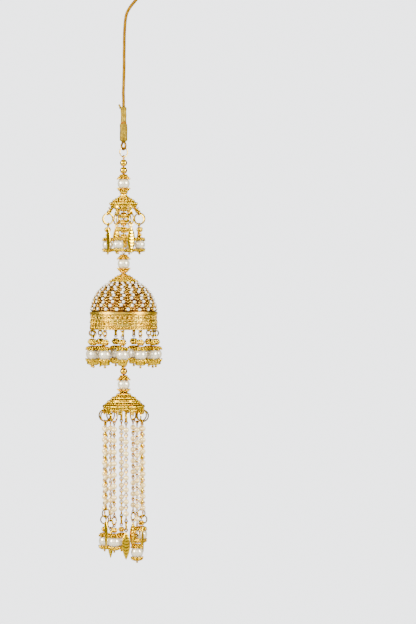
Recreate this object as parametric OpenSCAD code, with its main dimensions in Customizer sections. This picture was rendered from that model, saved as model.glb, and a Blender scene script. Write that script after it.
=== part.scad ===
// Kalire bridal ornament: a braided cord carries an umbrella with charms, a pearl-studded
// bell with pearl drops, and a tiered umbrella with ten pearl strands.
// +X is to the viewer's right, +Y away from the viewer and +Z up. The origin is the point
// that the cord's knotted loop hangs from. The ornament itself hangs on one vertical axis.

/* [Cord] */
// Diameter of the braided cord
cord_d = 1.7; // [1.4:0.1:2]
// Diameter of the thread wrapping
wrap_d = 4.1; // [3.8:0.1:4.4]
// Length of the thread wrapping
wrap_len = 18; // [15:1:22]
// Diameter of the cord where it is folded into the end loop
loop_cord_d = 1.2; // [1:0.1:1.4]
// Width of the end loop, between its centrelines
loop_w = 3.8; // [3.4:0.1:4.2]

/* [Wire] */
// Diameter of the wire of the pins and most rings
wire_d = 0.6; // [0.5:0.05:0.7]
// Diameter of the wire of the small pins and strands
thin_d = 0.5; // [0.4:0.05:0.55]
// Outer diameter of an eye at the end of a main pin
eye_d = 2.2; // [2.1:0.1:2.4]
// Outer diameter of the ring on the end loop
top_ring_d = 5.4; // [5:0.1:6]

/* [Pearls and beads] */
// Diameter of the three main pearls and the bell's pearl drops
pearl_d = 6.3; // [6:0.1:6.5]
// Diameter of the umbrella's pearl drops
small_pearl_d = 5.5; // [5:0.1:5.8]
// Diameter of the gold beads on the main pins
bead_d = 3.8; // [3.6:0.1:4]
// Diameter of the beads in the column under the upper umbrella
column_bead_d = 3.7; // [3.5:0.1:3.8]
// Number of beads in that column
column_beads = 7; // [5:1:8]
// Diameter of the pearls on the strands
strand_pearl_d = 2.9; // [2.6:0.1:3.1]
// Distance between the pearls of a strand
strand_pitch = 6.4; // [6:0.1:7]
// Rim diameter of the main bead caps
cap_d = 7; // [6.6:0.1:7.2]

/* [Upper umbrella] */
// Rim diameter of its crown
crown_d = 14.4; // [13.5:0.1:15]
// Height of its crown
crown_h = 5.4; // [5:0.1:6]
// Height of the skirt below the crown
skirt_h = 4.3; // [4:0.1:4.5]
// Number of charms that hang from it, pearl drops and leaves by turns
upper_drops = 8; // [6:2:8]
// Diameter of the circle that the charms hang on
upper_drop_circle = 17.6; // [17:0.1:18]

/* [Bell] */
// Diameter of the domed shell
dome_d = 33.2; // [32:0.2:34]
// Wall of the domed shell
dome_wall = 1; // [0.8:0.1:1.2]
// Outer diameter of the band below it
band_d = 34.4; // [34:0.2:35]
// Height of the band
band_h = 9; // [8:0.5:10]
// Number of pierced diamonds, and of bosses, round the band
band_repeats = 44; // [33:11:44]
// Number of pearl drops round the band
bell_drops = 11; // [9:1:11]

/* [Tassel] */
// Diameter of the tiered umbrella
tier_d = 21.6; // [21:0.2:22]
// Number of strands
strands = 10; // [8:1:10]
// Diameter of the circle that the strands hang on
strand_circle = 20.2; // [20:0.1:20.4]
// Length of a leaf charm
leaf_len = 14.6; // [13:0.2:15]
// Width of a leaf charm
leaf_w = 4.4; // [4:0.1:4.8]

/* [Hidden] */

gap = 0.06;        // between pieces that touch on the real ornament
bore_gap = 0.06;   // round a wire in its bore
big = 60;          // larger than any section of the ornament
$fn = 48;

wire_r = wire_d / 2;
thin_r = thin_d / 2;
eye_r = eye_d / 2 - wire_r;          // centreline radius of a main eye
small_eye_r = 0.75;                  // centreline radius of a thin pin's eye
loop_r = loop_w / 2;
loop_cord_r = loop_cord_d / 2;
top_ring_r = top_ring_d / 2 - wire_r;
pearl_r = pearl_d / 2;

// The end loop is turned so that it and the ring both look open from the front.
loop_turn = -55;
ring_turn = loop_turn + 90;

// Heights on the hanging axis, from the cord's route down
axis_x = -12.3;
wrap_top = -62.9;
wrap_base = wrap_top - wrap_len;
loop_z = wrap_base - 2.2;
loop_low = loop_z - loop_r;
top_ring_z = hung(loop_low, loop_cord_r, top_ring_r, wire_r);
eye_1_z = hung(top_ring_z - top_ring_r, wire_r, eye_r, wire_r);
bead_1_z = below_eye(eye_1_z) - bead_d / 2;
bead_2_z = bead_1_z - bead_d - gap;
cap_top_h = 4.95;                    // from a pearl's centre to the top of the cap above it
cap_base_h = [5.4, 4.8, 4.4];        // to the foot of the cap below it: upper, bell, tassel
pearl_1_z = bead_2_z - bead_d / 2 - gap - cap_top_h;
umbrella_z = pearl_1_z - cap_base_h[0] - gap;
crown_roof = 1.6;                    // thickness of the umbrella's crown at its centre
column_top = umbrella_z - crown_roof - gap;
column_step = column_bead_d + gap;
eye_2_z = column_top - column_beads * column_step - eye_d / 2;
eye_3_z = hung(eye_2_z - eye_r, wire_r, eye_r, wire_r);
pearl_2_z = below_eye(eye_3_z) - cap_top_h;
cone_z = pearl_2_z - cap_base_h[1] - gap;
dome_z = cone_z - 20;                // centre of the dome's sphere
eye_4_z = dome_z - 23.2;
eye_5_z = hung(eye_4_z - eye_r, wire_r, eye_r, wire_r);
bead_3_z = below_eye(eye_5_z) - bead_d / 2;
bead_4_z = bead_3_z - bead_d - gap;
pearl_3_z = bead_4_z - bead_d / 2 - gap - cap_top_h;
tiers_z = pearl_3_z - cap_base_h[2] - gap;

// Rings and loops of the drops
loop_wire_r = 0.3;                   // wire of the fixed loops on the umbrellas and band
fixed_loop_r = 0.8;
upper_ring_r = 2.8;
bell_ring_r = 1.4;
tassel_ring_r = 2.95;
charm_ring_r = 2.15;
bell_drop_r = band_d / 2 - 0.35;     // radius of the circle that the bell's drops hang on
upper_loop_z = umbrella_z - crown_h - skirt_h - 0.2;
bell_loop_z = dome_z - band_h - 0.7;
tassel_loop_z = tiers_z - 8.6;

// Angles round the axis, from the front towards +X
upper_angle = -17;
strand_angle = 9;
strand_lens = [51, 54, 48.5, 46, 48, 50, 52, 49, 45, 48.5];

// The cord's route, from the wrapping up to the knot
cord_route = [
    [-12.3, 0, -62.8], [-12.3, 0, -59.5], [-12.4, 0, -56], [-12.3, 0, -52.5], [-12.2, 0, -49],
    [-12.1, 0, -45.5], [-12, 0, -42], [-12, 0, -38.5], [-12, 0, -35], [-11.9, 0, -31.5],
    [-11.9, 0, -28], [-11.8, 0, -24.5], [-11.6, 0, -21], [-11.3, 0, -17.6], [-10.6, 0, -14.4],
    [-9.2, 0, -11.7], [-7.5, 0, -9.4], [-5.7, 0, -7.3], [-4, 0, -5.2]
];
cord_sides = 8;
knot_tilt = 37.8;                    // the cord's lean at its top end
knot_loop_r = 2.4;

// Centre height of a ring's or eye's circle that hangs on a wire whose centre is at z
function hung(z, carrier_r, ring_r, ring_wire_r) =
    z + carrier_r + ring_wire_r + gap - ring_r;

// Height of the first piece below an eye
function below_eye(z) = z - eye_d / 2 - gap;

// Sweep of a round tube along a route that stays in the XZ plane
function unit(v) = v / norm(v);
function way(route, i) =
    unit(route[min(i + 1, len(route) - 1)] - route[max(i - 1, 0)]);
function tube_ring(route, i, r, n) =
    let (t = way(route, i), side = [0, 1, 0], across = cross(t, side))
    [for (k = [0:n - 1]) route[i] + r * (cos(360 * k / n) * side + sin(360 * k / n) * across)];

module tube(route, r, n) {
    m = len(route);
    points = [for (i = [0:m - 1]) each tube_ring(route, i, r, n)];
    sides = [for (i = [0:m - 2], k = [0:n - 1])
        let (a = i * n + k, b = i * n + (k + 1) % n) each [[a, b, b + n], [a, b + n, a + n]]];
    start = [[for (k = [0:n - 1]) n - 1 - k]];
    end = [[for (k = [0:n - 1]) (m - 1) * n + k]];
    polyhedron(points = points, faces = concat(sides, start, end));
}

module on_axis(z) {
    translate([axis_x, 0, z]) children();
}

// Places a child at an angle round the axis, turned so that its -Y side faces outwards
module around(angle, radius) {
    rotate([0, 0, angle]) translate([0, -radius, 0]) children();
}

module torus(ring_r, r) {
    rotate_extrude() translate([ring_r, 0]) circle(r = r);
}

// A ring that stands upright. At turn 0 it faces the viewer.
module upright_ring(ring_r, r, turn = 0) {
    rotate([0, 0, turn]) rotate([90, 0, 0]) torus(ring_r, r);
}

module drilled(wire, length = big) {
    difference() {
        children();
        cylinder(r = wire + bore_gap, h = length, center = true);
    }
}

module bead(d, wire) {
    drilled(wire) sphere(d = d);
}

// A bead cap over the top of a pearl whose centre is the origin
module bead_cap(pearl_r, rim_r, top, rim, wire, petals) {
    neck = rim_r * 0.34;
    notch_r = rim_r * 0.2;
    drilled(wire) difference() {
        rotate_extrude() difference() {
            polygon([[0, top], [neck, top], [neck * 1.35, top - 0.45], [rim_r * 0.62, rim + 1.35],
                     [rim_r * 0.8, rim + 0.6], [rim_r, rim + 0.25], [rim_r, rim], [0, rim]]);
            circle(r = pearl_r + gap);
        }
        for (i = [0:petals - 1])
            rotate([0, 0, (i + 0.5) * 360 / petals]) translate([rim_r * 1.04, 0, rim])
                cylinder(r = notch_r, h = 2 * rim_r, center = true);
    }
}

// A pin from the eye at its top, whose centre is at top_z, straight down to foot_z
module pin_wire(top_z, foot_z, r, ring_r, turn) {
    translate([0, 0, top_z]) upright_ring(ring_r, r, turn);
    translate([0, 0, foot_z]) cylinder(r = r, h = top_z - ring_r - foot_z);
}

// A leaf charm below its own loop, whose centre is the origin
module leaf(ring_r) {
    arc_r = (leaf_len * leaf_len + leaf_w * leaf_w) / (4 * leaf_w);
    ribs = 5;
    translate([0, 0, -ring_r - leaf_len / 2]) rotate([90, 0, 0]) {
        linear_extrude(height = 0.7, center = true) leaf_outline(arc_r, 0);
        linear_extrude(height = 1.2, center = true) intersection() {
            leaf_outline(arc_r, 0.35);
            union() {
                square([0.5, leaf_len], center = true);
                for (i = [1:ribs], side = [-1, 1])
                    translate([0, (i / (ribs + 1) - 0.55) * leaf_len])
                        rotate(side * 40) translate([0, -0.2]) square([leaf_w, 0.4]);
                for (i = [1:ribs], side = [-1, 1])
                    translate([0, (i / (ribs + 1) - 0.55) * leaf_len])
                        rotate(180 + side * -40) translate([0, -0.2]) square([leaf_w, 0.4]);
            }
        }
    }
    upright_ring(ring_r, 0.3);
}

module leaf_outline(arc_r, inset) {
    shift = arc_r - leaf_w / 2;
    intersection() {
        translate([shift, 0]) circle(r = arc_r - inset);
        translate([-shift, 0]) circle(r = arc_r - inset);
    }
}

// A pearl drop on a headed pin below its eye, whose centre is the origin.
// sizes: [bead diameters, pearl diameter, cap rim radius, cap above, cap below, knob diameter]
module pearl_drop(beads, d, rim_r, above, below, knob_d) {
    first = -small_eye_r - thin_r - gap;
    stack = first - sum(beads) - len(beads) * gap;
    pearl_z = stack - above;
    knob_z = pearl_z - below - gap - knob_d / 2;
    pin_wire(0, knob_z, thin_r, small_eye_r, 0);
    translate([0, 0, knob_z]) sphere(d = knob_d);
    for (i = [0:len(beads) - 1])
        translate([0, 0, first - sum(beads, i) - i * gap - beads[i] / 2]) bead(beads[i], thin_r);
    translate([0, 0, pearl_z]) {
        bead_cap(d / 2, rim_r, above, d * 0.32, thin_r, 6);
        bead(d, thin_r);
        mirror([0, 0, 1]) bead_cap(d / 2, rim_r, below, d * 0.32, thin_r, 6);
    }
}

// Sum of the first n items of a list
function sum(v, n = undef) =
    let (m = is_undef(n) ? len(v) : n) m == 0 ? 0 : v[m - 1] + sum(v, m - 1);

module cord() {
    color("goldenrod") tube(cord_route, cord_d / 2, cord_sides);
}

module cord_knot() {
    color("goldenrod") rotate([0, knot_tilt, 0]) {
        translate([0, 0, -knot_loop_r + cord_d / 2]) rotate([90, 0, 0])
            torus(knot_loop_r, cord_d / 2);
        translate([0, 0, -6.5]) cylinder(r = cord_d / 2 + 0.7, h = 2.6);
    }
}

module cord_wrap() {
    neck_d = wrap_d * 0.76;
    tie_z = wrap_top - wrap_len * 0.46;
    socket_r = loop_cord_r + 0.45;
    color("darkkhaki") {
        difference() {
            translate([axis_x, 0, 0]) rotate_extrude()
                polygon([[0, wrap_top], [neck_d / 2 - 0.3, wrap_top], [neck_d / 2, wrap_top - 0.5],
                         [neck_d / 2, tie_z + 0.3], [neck_d / 2 - 0.25, tie_z],
                         [wrap_d / 2, tie_z - 0.8], [wrap_d / 2, wrap_base + 1],
                         [wrap_d / 2 - 0.5, wrap_base], [0, wrap_base]]);
            on_axis(wrap_base) cylinder(r = socket_r, h = 2.4, center = true);
        }
        // The folded end of the cord stands out beside it.
        on_axis(wrap_top - 1) translate([-1.6, 0, 0]) rotate([0, -18, 0])
            cylinder(r = 0.55, h = 2.4);
    }
}

module cord_end_loop() {
    color("goldenrod") on_axis(loop_z) {
        upright_ring(loop_r, loop_cord_r, loop_turn);
        translate([0, 0, loop_r - 0.3])
            cylinder(r = loop_cord_r + 0.39, h = wrap_base + 1.1 - loop_z - loop_r + 0.3);
    }
}

module top_ring() {
    color("gold") on_axis(top_ring_z) upright_ring(top_ring_r, wire_r, ring_turn);
}

// The wire through the upper pieces, from the ring to the eye that carries the bell
module upper_pin() {
    color("gold") on_axis(0) {
        pin_wire(eye_1_z, eye_2_z + eye_r, wire_r, eye_r, ring_turn + 90);
        translate([0, 0, eye_2_z]) upright_ring(eye_r, wire_r, 90);
    }
}

module top_bead_1() {
    color("gold") on_axis(bead_1_z) bead(bead_d, wire_r);
}

module top_bead_2() {
    color("gold") on_axis(bead_2_z) bead(bead_d, wire_r);
}

module cap_above(z) {
    color("gold") on_axis(z) bead_cap(pearl_r, cap_d / 2, cap_top_h, 2, wire_r, 8);
}

module cap_below(z, foot) {
    color("gold") on_axis(z) mirror([0, 0, 1])
        bead_cap(pearl_r, cap_d / 2, foot, 2, wire_r, 8);
}

module upper_cap_top() {
    cap_above(pearl_1_z);
}

module upper_pearl() {
    color("ivory") on_axis(pearl_1_z) bead(pearl_d, wire_r);
}

module upper_cap_base() {
    cap_below(pearl_1_z, cap_base_h[0]);
}

// A crown over a skirt cut into arches, with a fixed loop between them for each charm
module upper_umbrella() {
    r = crown_d / 2;
    foot = crown_h + skirt_h;
    flare = r + 0.7;
    wall = 0.55;
    color("gold") on_axis(umbrella_z) {
        drilled(wire_r) difference() {
            rotate_extrude() union() {
                polygon([[0, 0], [1.6, 0], [1.9, -1.4], [4, -2.7], [r - 1.6, -3.7], [r - 0.4, -4.5],
                         [r - 0.4, -crown_h], [r - 0.5, -crown_h - 1.4], [flare, -foot],
                         [flare - wall, -foot], [r - 0.5 - wall, -crown_h - 1.4],
                         [r - 0.5 - wall, -crown_h + 0.1], [r - 2, -4.4], [4, -3.4],
                         [1.9, -2.1], [1.9, -crown_roof], [0, -crown_roof]]);
                translate([r - 0.55, -4.9]) circle(r = 0.55);
            }
            for (i = [0:upper_drops - 1]) {
                angle = upper_angle + i * 360 / upper_drops;
                wall_cut(angle + 180 / upper_drops, 0.3 - foot, 2.2, r - 1.6);
                wall_cut(angle, -crown_h - 1.7, 0.65, r - 1.7);
            }
        }
        for (i = [0:upper_drops - 1])
            around(upper_angle + i * 360 / upper_drops, upper_drop_circle / 2)
                translate([0, 0, upper_loop_z - umbrella_z]) upper_hanger();
    }
}

// A charm's fixed loop, with the short arm that carries it out from the petals
module upper_hanger() {
    upright_ring(fixed_loop_r, loop_wire_r);
    translate([0, 1.7, fixed_loop_r + 0.3]) rotate([90, 0, 0]) cylinder(r = 0.4, h = 1.9);
}

// A round cut through an umbrella's wall, made from inside it outwards
module wall_cut(angle, z, r, from) {
    around(angle, from) translate([0, 0, z]) rotate([90, 0, 0]) cylinder(r = r, h = 4);
}

module centre_beads() {
    color("gold") for (i = [0:column_beads - 1])
        on_axis(column_top - column_bead_d / 2 - i * column_step) bead(column_bead_d, wire_r);
}

// Charm i of the upper umbrella: odd ones are pearl drops and even ones leaves
module upper_drop(i) {
    ring_z = hung(upper_loop_z - fixed_loop_r, loop_wire_r, upper_ring_r, loop_wire_r);
    charm_z = hung(ring_z - upper_ring_r, loop_wire_r, small_eye_r, thin_r);
    leaf_z = hung(ring_z - upper_ring_r, loop_wire_r, fixed_loop_r, loop_wire_r);
    color(i % 2 == 1 ? "ivory" : "gold") on_axis(0)
        around(upper_angle + (i - 1) * 360 / upper_drops, upper_drop_circle / 2) {
            translate([0, 0, ring_z]) upright_ring(upper_ring_r, loop_wire_r, 90);
            if (i % 2 == 1)
                translate([0, 0, charm_z])
                    pearl_drop([3.2, 2.2], small_pearl_d, 3, 3.9, 3.9, 1.2);
            else
                translate([0, 0, leaf_z]) leaf(fixed_loop_r);
        }
}

// The wire through the bell, from the upper eye to the eye that carries the tassel
module jhumka_pin() {
    color("gold") on_axis(0) {
        pin_wire(eye_3_z, eye_4_z + eye_r, wire_r, eye_r, 0);
        translate([0, 0, eye_4_z]) upright_ring(eye_r, wire_r, 90);
        // A collar under the crown of the dome holds it up.
        translate([0, 0, dome_z + dome_d / 2 - dome_wall - gap - 1.3]) cylinder(r = 1.6, h = 1.2);
    }
}

module jhumka_cap_top() {
    cap_above(pearl_2_z);
}

module jhumka_pearl() {
    color("ivory") on_axis(pearl_2_z) bead(pearl_d, wire_r);
}

module jhumka_cap_base() {
    cap_below(pearl_2_z, cap_base_h[1]);
}

// The flared cap that sits on the crown of the dome
module cone_cap() {
    seat_r = dome_d / 2 + gap;
    color("gold") on_axis(cone_z) drilled(wire_r) difference() {
        union() {
            rotate_extrude()
                polygon([[0, 0], [1.2, 0], [1.6, -0.7], [3.7, -1.6], [5.1, -2.7], [6.9, -3.9],
                         [6.9, -4.4], [6.2, -4.2], [5, -3.4], [3.6, -2.3], [1.8, -1.6],
                         [1.8, -4], [0, -4]]);
            translate([0, 0, -4.25]) torus(6.8, 0.5);
        }
        translate([0, 0, dome_z - cone_z]) sphere(r = seat_r);
    }
}

// The domed shell and its pierced band, with a fixed loop for each drop
module dome() {
    r = dome_d / 2;
    band_r = band_d / 2;
    band_wall = 0.9;
    lip = 0.5;
    diamond = 1;
    color("peru") on_axis(dome_z) {
        difference() {
            rotate_extrude() difference() {
                union() {
                    intersection() {
                        circle(r = r);
                        square([r, r]);
                    }
                    translate([band_r - band_wall, -band_h]) square([band_wall, band_h]);
                    translate([r - 0.9, -1.3]) square([band_r + lip - r + 0.9, 1.1]);
                    translate([band_r - 0.3, -band_h + 0.1]) circle(r = lip);
                }
                circle(r = r - dome_wall);
            }
            cylinder(r = wire_r + bore_gap, h = big, center = true);
            for (i = [0:band_repeats - 1])
                around(i * 360 / band_repeats, band_r) translate([0, 0, -3.1])
                    rotate([0, 45, 0]) cube([diamond, 4, diamond], center = true);
        }
        for (i = [0:band_repeats - 1])
            around((i + 0.5) * 360 / band_repeats, band_r - 0.05) translate([0, 0, -5.5])
                sphere(r = 0.55);
        for (i = [0:bell_drops - 1])
            around(i * 360 / bell_drops, bell_drop_r) translate([0, 0, bell_loop_z - dome_z])
                upright_ring(fixed_loop_r, loop_wire_r);
    }
}

module jhumka_drop(i) {
    ring_z = hung(bell_loop_z - fixed_loop_r, loop_wire_r, bell_ring_r, loop_wire_r);
    charm_z = hung(ring_z - bell_ring_r, loop_wire_r, small_eye_r, thin_r);
    color("ivory") on_axis(0) around((i - 1) * 360 / bell_drops, bell_drop_r) {
        translate([0, 0, ring_z]) upright_ring(bell_ring_r, loop_wire_r, 90);
        translate([0, 0, charm_z]) pearl_drop([4], pearl_d, 3.4, 4.3, 5.5, 1.4);
    }
}

// The wire through the tassel's pieces, with a knob inside the tiers
module tassel_pin() {
    knob_z = tiers_z - 2.6;
    color("gold") on_axis(0) {
        pin_wire(eye_5_z, knob_z, wire_r, eye_r, 0);
        translate([0, 0, knob_z]) sphere(d = 2);
    }
}

module tassel_bead_1() {
    color("gold") on_axis(bead_3_z) bead(bead_d, wire_r);
}

module tassel_bead_2() {
    color("gold") on_axis(bead_4_z) bead(bead_d, wire_r);
}

module tassel_cap_top() {
    cap_above(pearl_3_z);
}

module tassel_pearl() {
    color("ivory") on_axis(pearl_3_z) bead(pearl_d, wire_r);
}

module tassel_cap_base() {
    cap_below(pearl_3_z, cap_base_h[2]);
}

// Four stepped tiers over a skirt of pierced points, with a fixed loop for each strand
module tassel_umbrella() {
    r = tier_d / 2;
    foot = 11;
    wall = 0.6;
    step = 360 / strands;
    color("gold") on_axis(tiers_z) {
        drilled(wire_r) difference() {
            rotate_extrude() union() {
                polygon([[0, 0], [2.8, 0], [3.3, -0.4], [3.3, -1.4], [5.4, -1.9], [5.85, -3.2],
                         [7.8, -3.7], [8.2, -5.2], [10.2, -5.8], [r, -6.6], [r - 0.4, -7.6],
                         [r - 0.4, -foot], [r - 0.4 - wall, -foot], [r - 0.4 - wall, -7.4],
                         [r - 1.4, -6.6], [7.5, -6], [7, -4.4], [5.2, -4], [4.7, -2.6],
                         [2.6, -2.2], [2, -1.5], [0, -1.5]]);
                translate([3.3, -1]) circle(r = 0.45);
                translate([5.75, -2.7]) circle(r = 0.5);
                translate([8.05, -4.7]) circle(r = 0.5);
                translate([r - 0.3, -6.8]) circle(r = 0.5);
            }
            for (i = [0:strands - 1]) {
                wall_cut(strand_angle + i * step, -foot + 0.6, 2.2, r - 2.2);
                wall_cut(strand_angle + (i + 0.5) * step, -8.7, 0.5, r - 2.2);
            }
        }
        for (i = [0:strands - 1])
            around(strand_angle + i * step, strand_circle / 2)
                translate([0, 0, tassel_loop_z - tiers_z])
                    upright_ring(fixed_loop_r, loop_wire_r);
    }
}

// Pearls on a wire with an eye at both ends. The top eye's centre is the origin.
module pearl_string(length) {
    wire_len = length - 2 * small_eye_r;
    count = round(length / strand_pitch);
    pitch = wire_len / count;
    upright_ring(small_eye_r, thin_r);
    translate([0, 0, -length]) upright_ring(small_eye_r, thin_r);
    translate([0, 0, -small_eye_r]) rotate_extrude() intersection() {
        union() {
            translate([0, -wire_len]) square([thin_r, wire_len]);
            for (i = [0:count - 1])
                translate([0, -(i + 0.5) * pitch]) circle(d = strand_pearl_d);
        }
        translate([0, -wire_len]) square([strand_pearl_d, wire_len]);
    }
}

// Strand i: odd ones end in a leaf and even ones in a pearl drop
module strand(i) {
    length = strand_lens[i - 1];
    ring_z = hung(tassel_loop_z - fixed_loop_r, loop_wire_r, tassel_ring_r, loop_wire_r);
    string_z = hung(ring_z - tassel_ring_r, loop_wire_r, small_eye_r, thin_r);
    low_ring_z = hung(string_z - length - small_eye_r, thin_r, charm_ring_r, loop_wire_r);
    charm_z = hung(low_ring_z - charm_ring_r, loop_wire_r, small_eye_r, thin_r);
    leaf_z = hung(low_ring_z - charm_ring_r, loop_wire_r, fixed_loop_r, loop_wire_r);
    color("moccasin") on_axis(0)
        around(strand_angle + (i - 1) * 360 / strands, strand_circle / 2) {
            translate([0, 0, ring_z]) upright_ring(tassel_ring_r, loop_wire_r, 90);
            translate([0, 0, string_z]) pearl_string(length);
            translate([0, 0, low_ring_z]) upright_ring(charm_ring_r, loop_wire_r, 90);
            if (i % 2 == 1)
                translate([0, 0, leaf_z]) leaf(fixed_loop_r);
            else
                translate([0, 0, charm_z])
                    pearl_drop([3.2], pearl_d, 3.3, 4.4, 4.4, 1.2);
        }
}

cord();
cord_knot();
cord_wrap();
cord_end_loop();
top_ring();
upper_pin();
top_bead_1();
top_bead_2();
upper_cap_top();
upper_pearl();
upper_cap_base();
upper_umbrella();
centre_beads();
for (i = [1:upper_drops])
    upper_drop(i);
jhumka_pin();
jhumka_cap_top();
jhumka_pearl();
jhumka_cap_base();
cone_cap();
dome();
for (i = [1:bell_drops])
    jhumka_drop(i);
tassel_pin();
tassel_bead_1();
tassel_bead_2();
tassel_cap_top();
tassel_pearl();
tassel_cap_base();
tassel_umbrella();
for (i = [1:strands])
    strand(i);
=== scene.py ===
import math
from functools import partial

import bmesh
import bpy
import numpy as np
from mathutils import Euler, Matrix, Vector


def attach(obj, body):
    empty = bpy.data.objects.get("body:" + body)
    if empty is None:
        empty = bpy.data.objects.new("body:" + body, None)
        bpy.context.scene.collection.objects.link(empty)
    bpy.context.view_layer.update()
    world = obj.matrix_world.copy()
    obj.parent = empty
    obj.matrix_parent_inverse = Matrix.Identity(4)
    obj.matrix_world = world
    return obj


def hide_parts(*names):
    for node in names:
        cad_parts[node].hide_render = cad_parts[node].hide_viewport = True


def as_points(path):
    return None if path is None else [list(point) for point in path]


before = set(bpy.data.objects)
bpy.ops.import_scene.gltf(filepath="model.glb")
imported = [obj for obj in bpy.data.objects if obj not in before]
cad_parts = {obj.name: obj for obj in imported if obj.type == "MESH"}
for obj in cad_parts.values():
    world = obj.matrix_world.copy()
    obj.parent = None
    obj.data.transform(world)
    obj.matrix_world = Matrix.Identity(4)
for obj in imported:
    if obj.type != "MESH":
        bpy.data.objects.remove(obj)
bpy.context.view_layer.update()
mm = 0.001
axisX = -12.3  # the axis that everything hangs on; sizes are in mm, as in the CAD source
gap = 0.06  # between one piece and the next on a pin
scene = bpy.context.scene

# camera, at the photograph's height and straight in front

cameraSizes = {"aim": (31.56, 0.0, -169.5), "distance": 1200.0, "rise": 0.6, "frameHeight": 324.5}


def makeCamera(sizes):
    data = bpy.data.cameras.new("camera")
    data.sensor_fit = "VERTICAL"
    data.sensor_height = 36.0
    data.lens = 36.0 * sizes["distance"] / sizes["frameHeight"]
    data.clip_start = 0.05
    camera = bpy.data.objects.new("camera", data)
    scene.collection.objects.link(camera)
    rise = math.radians(sizes["rise"])
    aim = Vector(sizes["aim"]) * mm
    away = Vector((0, -math.cos(rise), math.sin(rise))) * sizes["distance"] * mm
    camera.location = aim + away
    camera.rotation_euler = (math.pi / 2 - rise, 0, 0)
    scene.camera = camera


makeCamera(cameraSizes)
print("camera placed")

# shapes, each a pair of points in mm and faces


def joined(forms):
    points, faces, start = [], [], 0
    for formPoints, formFaces in forms:
        points.append(formPoints)
        faces.extend(tuple(i + start for i in face) for face in formFaces)
        start += len(formPoints)
    return np.concatenate(points), faces


def moved(form, place=(0, 0, 0), turn=0.0, tilt=0.0, flip=False, size=1.0):
    points, faces = form
    points = points * size
    if flip:
        points = points * (1, 1, -1)
        faces = [tuple(reversed(face)) for face in faces]
    spin = np.array(Euler((0, math.radians(tilt), math.radians(turn))).to_matrix())
    return points @ spin.T + np.array(place, float), faces


def sheetOf(rows, columns, pointAt, rowsClose=True, columnsClose=True):
    # a grid of quads; a row or column that closes joins its end to its start
    points = np.array([pointAt(i, k) for i in range(rows) for k in range(columns)], float)
    faces = []
    for i in range(rows if rowsClose else rows - 1):
        for k in range(columns if columnsClose else columns - 1):
            nextRow, nextColumn = (i + 1) % rows, (k + 1) % columns
            faces.append((i * columns + k, i * columns + nextColumn,
                          nextRow * columns + nextColumn, nextRow * columns + k))
    return points, faces


def turned(profile, sides, closed=True):
    # a profile of (radius, height) turned round Z; radius 0 at an end makes a pole
    angles = [2 * math.pi * k / sides for k in range(sides)]
    points, rows = [], []
    for r, z in profile:
        rows.append((len(points), r > 1e-6))
        if r > 1e-6:
            points.extend((r * math.cos(a), r * math.sin(a), z) for a in angles)
        else:
            points.append((0, 0, z))
    pairs = list(zip(rows[:-1], rows[1:])) + ([(rows[-1], rows[0])] if closed else [])
    faces = []
    for (a, aRing), (b, bRing) in pairs:
        for k in range(sides):
            n = (k + 1) % sides
            if aRing and bRing:
                faces.append((a + k, a + n, b + n, b + k))
            elif aRing:
                faces.append((a + k, a + n, b))
            elif bRing:
                faces.append((a, b + n, b + k))
    return np.array(points, float), faces


def bead(diameter, hole=0.0, sides=16, rows=9):
    r = diameter / 2
    lean = math.asin(min(0.9, hole / r))
    steps = [lean + (math.pi - 2 * lean) * i / rows for i in range(rows + 1)]
    profile = [(max(0.0, r * math.sin(a)) if hole or 0 < i < rows else 0.0, r * math.cos(a))
               for i, a in enumerate(steps)]
    return turned(profile, sides, closed=hole > 0)


def wireRing(ringRadius, wire, turn=0.0, around=14, sides=6, relief=None):
    # an upright ring; at turn 0 it faces the viewer
    def pointAt(i, k):
        a, s = 2 * math.pi * i / around, 2 * math.pi * k / sides
        w = wire + (relief(a, s) if relief else 0)
        r = ringRadius + w * math.cos(s)
        return (r * math.cos(a), w * math.sin(s), r * math.sin(a))
    return moved(sheetOf(around, sides, pointAt), turn=turn)


def wireAlong(path, radiusAt, sides):
    # a closed-ended tube along points, which keeps its cross-section from twisting
    path = np.array(path, float)
    ways = np.gradient(path, axis=0)
    ways /= np.linalg.norm(ways, axis=1)[:, None]
    side = np.cross(ways[0], (0.0, 1.0, 0.0))
    if np.linalg.norm(side) < 1e-6:
        side = np.array((1.0, 0, 0))
    rings = []
    for i, (p, way) in enumerate(zip(path, ways)):
        side = side - way * (side @ way)
        side /= np.linalg.norm(side)
        up = np.cross(way, side)
        for k in range(sides):
            a = 2 * math.pi * k / sides
            r = radiusAt(i, a) if callable(radiusAt) else radiusAt
            rings.append(p + r * (math.cos(a) * side + math.sin(a) * up))
    count = len(path)
    faces = []
    for i in range(count - 1):
        for k in range(sides):
            n = (k + 1) % sides
            faces.append((i * sides + k, i * sides + n, (i + 1) * sides + n, (i + 1) * sides + k))
    faces.append(tuple(reversed(range(sides))))
    faces.append(tuple(range((count - 1) * sides, count * sides)))
    return np.array(rings), faces


def stem(top, foot, radius, sides=8):
    return turned([(0, top), (radius, top), (radius, foot), (0, foot)], sides, closed=False)


def levelRing(ringRadius, wire, height, around, sides, rise=None):
    # a ring that lies flat round Z; rise is half its height where that isn't the wire's radius
    section = [(ringRadius + wire * math.cos(a), (rise or wire) * math.sin(a))
               for a in np.linspace(0, 2 * math.pi, sides + 1)[:-1]]
    return moved(turned(section, around), (0, 0, height))


def smoothed(profile, steps=3):
    # extra points along a rounded line through the profile's own points
    count, out = len(profile), []
    p = [np.array(v, float) for v in profile]
    for i in range(count - 1):
        a, b, c, d = p[max(i - 1, 0)], p[i], p[i + 1], p[min(i + 2, count - 1)]
        for s in range(steps):
            t = s / steps
            out.append(0.5 * (2 * b + (c - a) * t + (2 * a - 5 * b + 4 * c - d) * t * t
                              + (3 * b - a - 3 * c + d) * t ** 3))
    return [tuple(v) for v in out + [p[-1]]]


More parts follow.
